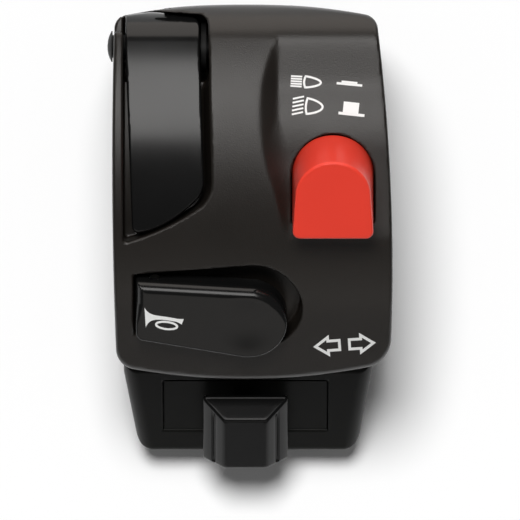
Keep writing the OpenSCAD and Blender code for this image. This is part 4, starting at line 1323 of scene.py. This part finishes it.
class OBJECT_OT_cluster_prints(ClusterOperator):
    """Make the printed symbols."""

    bl_idname = "object.cluster_prints"
    bl_label = "Printed symbols"

    def execute(self, context):
        paint = material("print")
        marks = {
            "print_high_beam": beam_strokes(**HIGH_BEAM),
            "print_low_beam": beam_strokes(**LOW_BEAM),
            "print_button_in": bar_strokes(*BUTTON_IN),
            "print_button_out": bar_strokes(*BUTTON_OUT),
        }
        for name, strokes in marks.items():
            print_piece(name, strokes, panel_print_height, None, paint, "housing")
        arrow = arrow_outline(**ARROW)
        arrows = [(turned(arrow, place, angle), ARROW_LINE, True) for place, angle in ARROW_PLACES]
        print_piece("print_arrows", arrows, band_height, None, paint, "housing")
        print_piece("print_horn", horn_strokes(), flat_height, HORN_FRAME, paint, "horn")
        return {"FINISHED"}


class OBJECT_OT_cluster_finish(ClusterOperator):
    """Give every node that still shows its material."""

    bl_idname = "object.cluster_finish"
    bl_label = "Finishes of the inner pieces"

    def execute(self, context):
        slots = {part["node"]: part["material_slot"] for part in frame["record"]["subparts"]}
        for name, slot in (slots | DARK_NODES).items():
            piece = bpy.data.objects.get(name)
            if piece is not None:
                piece.data.materials.clear()
                piece.data.materials.append(material(slot))
        return {"FINISHED"}


def linked(name, data):
    """Object for a camera, a light or a mesh, linked to the scene."""
    made = bpy.data.objects.new(name, data)
    bpy.context.scene.collection.objects.link(made)
    return made


def facing(away):
    """Turn of a light that shines from a direction."""
    return math.atan2(math.hypot(away[0], away[1]), away[2]), 0, math.atan2(away[0], -away[1])


def board_light(name, radiance, place, target, size, colour):
    """Rectangular light of an even brightness that faces a target and shows in mirror views alone."""
    light = bpy.data.lights.new(name, "AREA")
    light.shape = "RECTANGLE"
    light.size, light.size_y = size
    light.energy = radiance * math.pi * size[0] * size[1]
    light.color = colour
    board = linked(name, light)
    board.location = place
    board.rotation_euler = facing(np.subtract(place, target))
    board.visible_camera = False
    board.visible_diffuse = False


def make_camera(group):
    """Camera straight above the part, with the lens that gives the view its width at the aim's height."""
    camera = bpy.data.cameras.new("camera")
    camera.sensor_width = SENSOR_WIDTH
    camera.lens = camera.sensor_width * (group.height - group.aim_height) / group.view_width
    camera.clip_end = CLIP_END
    eye = linked("camera", camera)
    eye.location = (*CAMERA_PLACE, group.height)
    bpy.context.scene.camera = eye


def make_lights(group):
    """Boards for the shine, a key light for the rest and an even glow of the surroundings."""
    for name, board in BOARDS.items():
        board_light(name, getattr(group, name), **board)
    sun = bpy.data.lights.new("key", "SUN")
    sun.energy = group.key
    sun.angle = group.key_angle
    key = linked("key", sun)
    key.rotation_euler = facing(group.key_from)
    key.visible_glossy = False
    world = bpy.data.worlds.new("surroundings")
    bpy.context.scene.world = world
    world.use_nodes = True
    background = world.node_tree.nodes["Background"]
    background.inputs["Color"].default_value = (1, 1, 1, 1)
    background.inputs["Strength"].default_value = group.world


def make_floor():
    """Square floor, a little under the part."""
    floor_z = CAD_BOX[0][2] - FLOOR_GAP * MM
    corners = [(x * FLOOR_SIDE, y * FLOOR_SIDE, floor_z) for x, y in ((-1, -1), (1, -1), (1, 1), (-1, 1))]
    mesh = bpy.data.meshes.new("floor")
    mesh.from_pydata(corners, [], [(0, 1, 2, 3)])
    mesh.materials.append(floor_material())
    floor = linked("floor", mesh)


class OBJECT_OT_cluster_stage(ClusterOperator):
    """Make the camera, the lights, the surroundings and the floor."""

    bl_idname = "object.cluster_stage"
    bl_label = "Stage"

    def execute(self, context):
        group = settings("stage")
        make_camera(group)
        context.scene.view_settings.view_transform = "Standard"
        make_lights(group)
        make_floor()
        return {"FINISHED"}


class VIEW3D_PT_cluster(bpy.types.Panel):
    """Sidebar panel with the cluster's operators and settings."""

    bl_label = "Switch cluster"
    bl_space_type = "VIEW_3D"
    bl_region_type = "UI"
    bl_category = "Switch cluster"

    def draw(self, context):
        """Show a button for each operator, and a box of fields for each settings group."""
        for operator in OPERATORS:
            self.layout.operator(operator.bl_idname)
        for name in SETTINGS:
            box = self.layout.box()
            group = settings(name)
            for key in group.__annotations__:
                box.prop(group, key)


SETTINGS = {
    "shells": ShellSettings,
    "controls": ControlSettings,
    "finish": FinishSettings,
    "stage": StageSettings,
}
OPERATORS = (OBJECT_OT_cluster_shells, OBJECT_OT_cluster_controls, OBJECT_OT_cluster_prints,
             OBJECT_OT_cluster_finish, OBJECT_OT_cluster_stage)
CLASSES = (*SETTINGS.values(), *OPERATORS, VIEW3D_PT_cluster)


def register():
    """Register every class, and the settings groups on the scene."""
    for kind in CLASSES:
        bpy.utils.register_class(kind)
    for name, kind in SETTINGS.items():
        setattr(bpy.types.Scene, "cluster_" + name, bpy.props.PointerProperty(type=kind))


def unregister():
    """Take the settings groups off the scene, and unregister every class."""
    for name in SETTINGS:
        delattr(bpy.types.Scene, "cluster_" + name)
    for kind in reversed(CLASSES):
        bpy.utils.unregister_class(kind)


def main():
    """Register the add-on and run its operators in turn."""
    register()
    bpy.ops.object.cluster_shells()
    bpy.ops.object.cluster_controls()
    bpy.ops.object.cluster_prints()
    bpy.ops.object.cluster_finish()
    bpy.ops.object.cluster_stage()


if __name__ == "__main__":
    main()
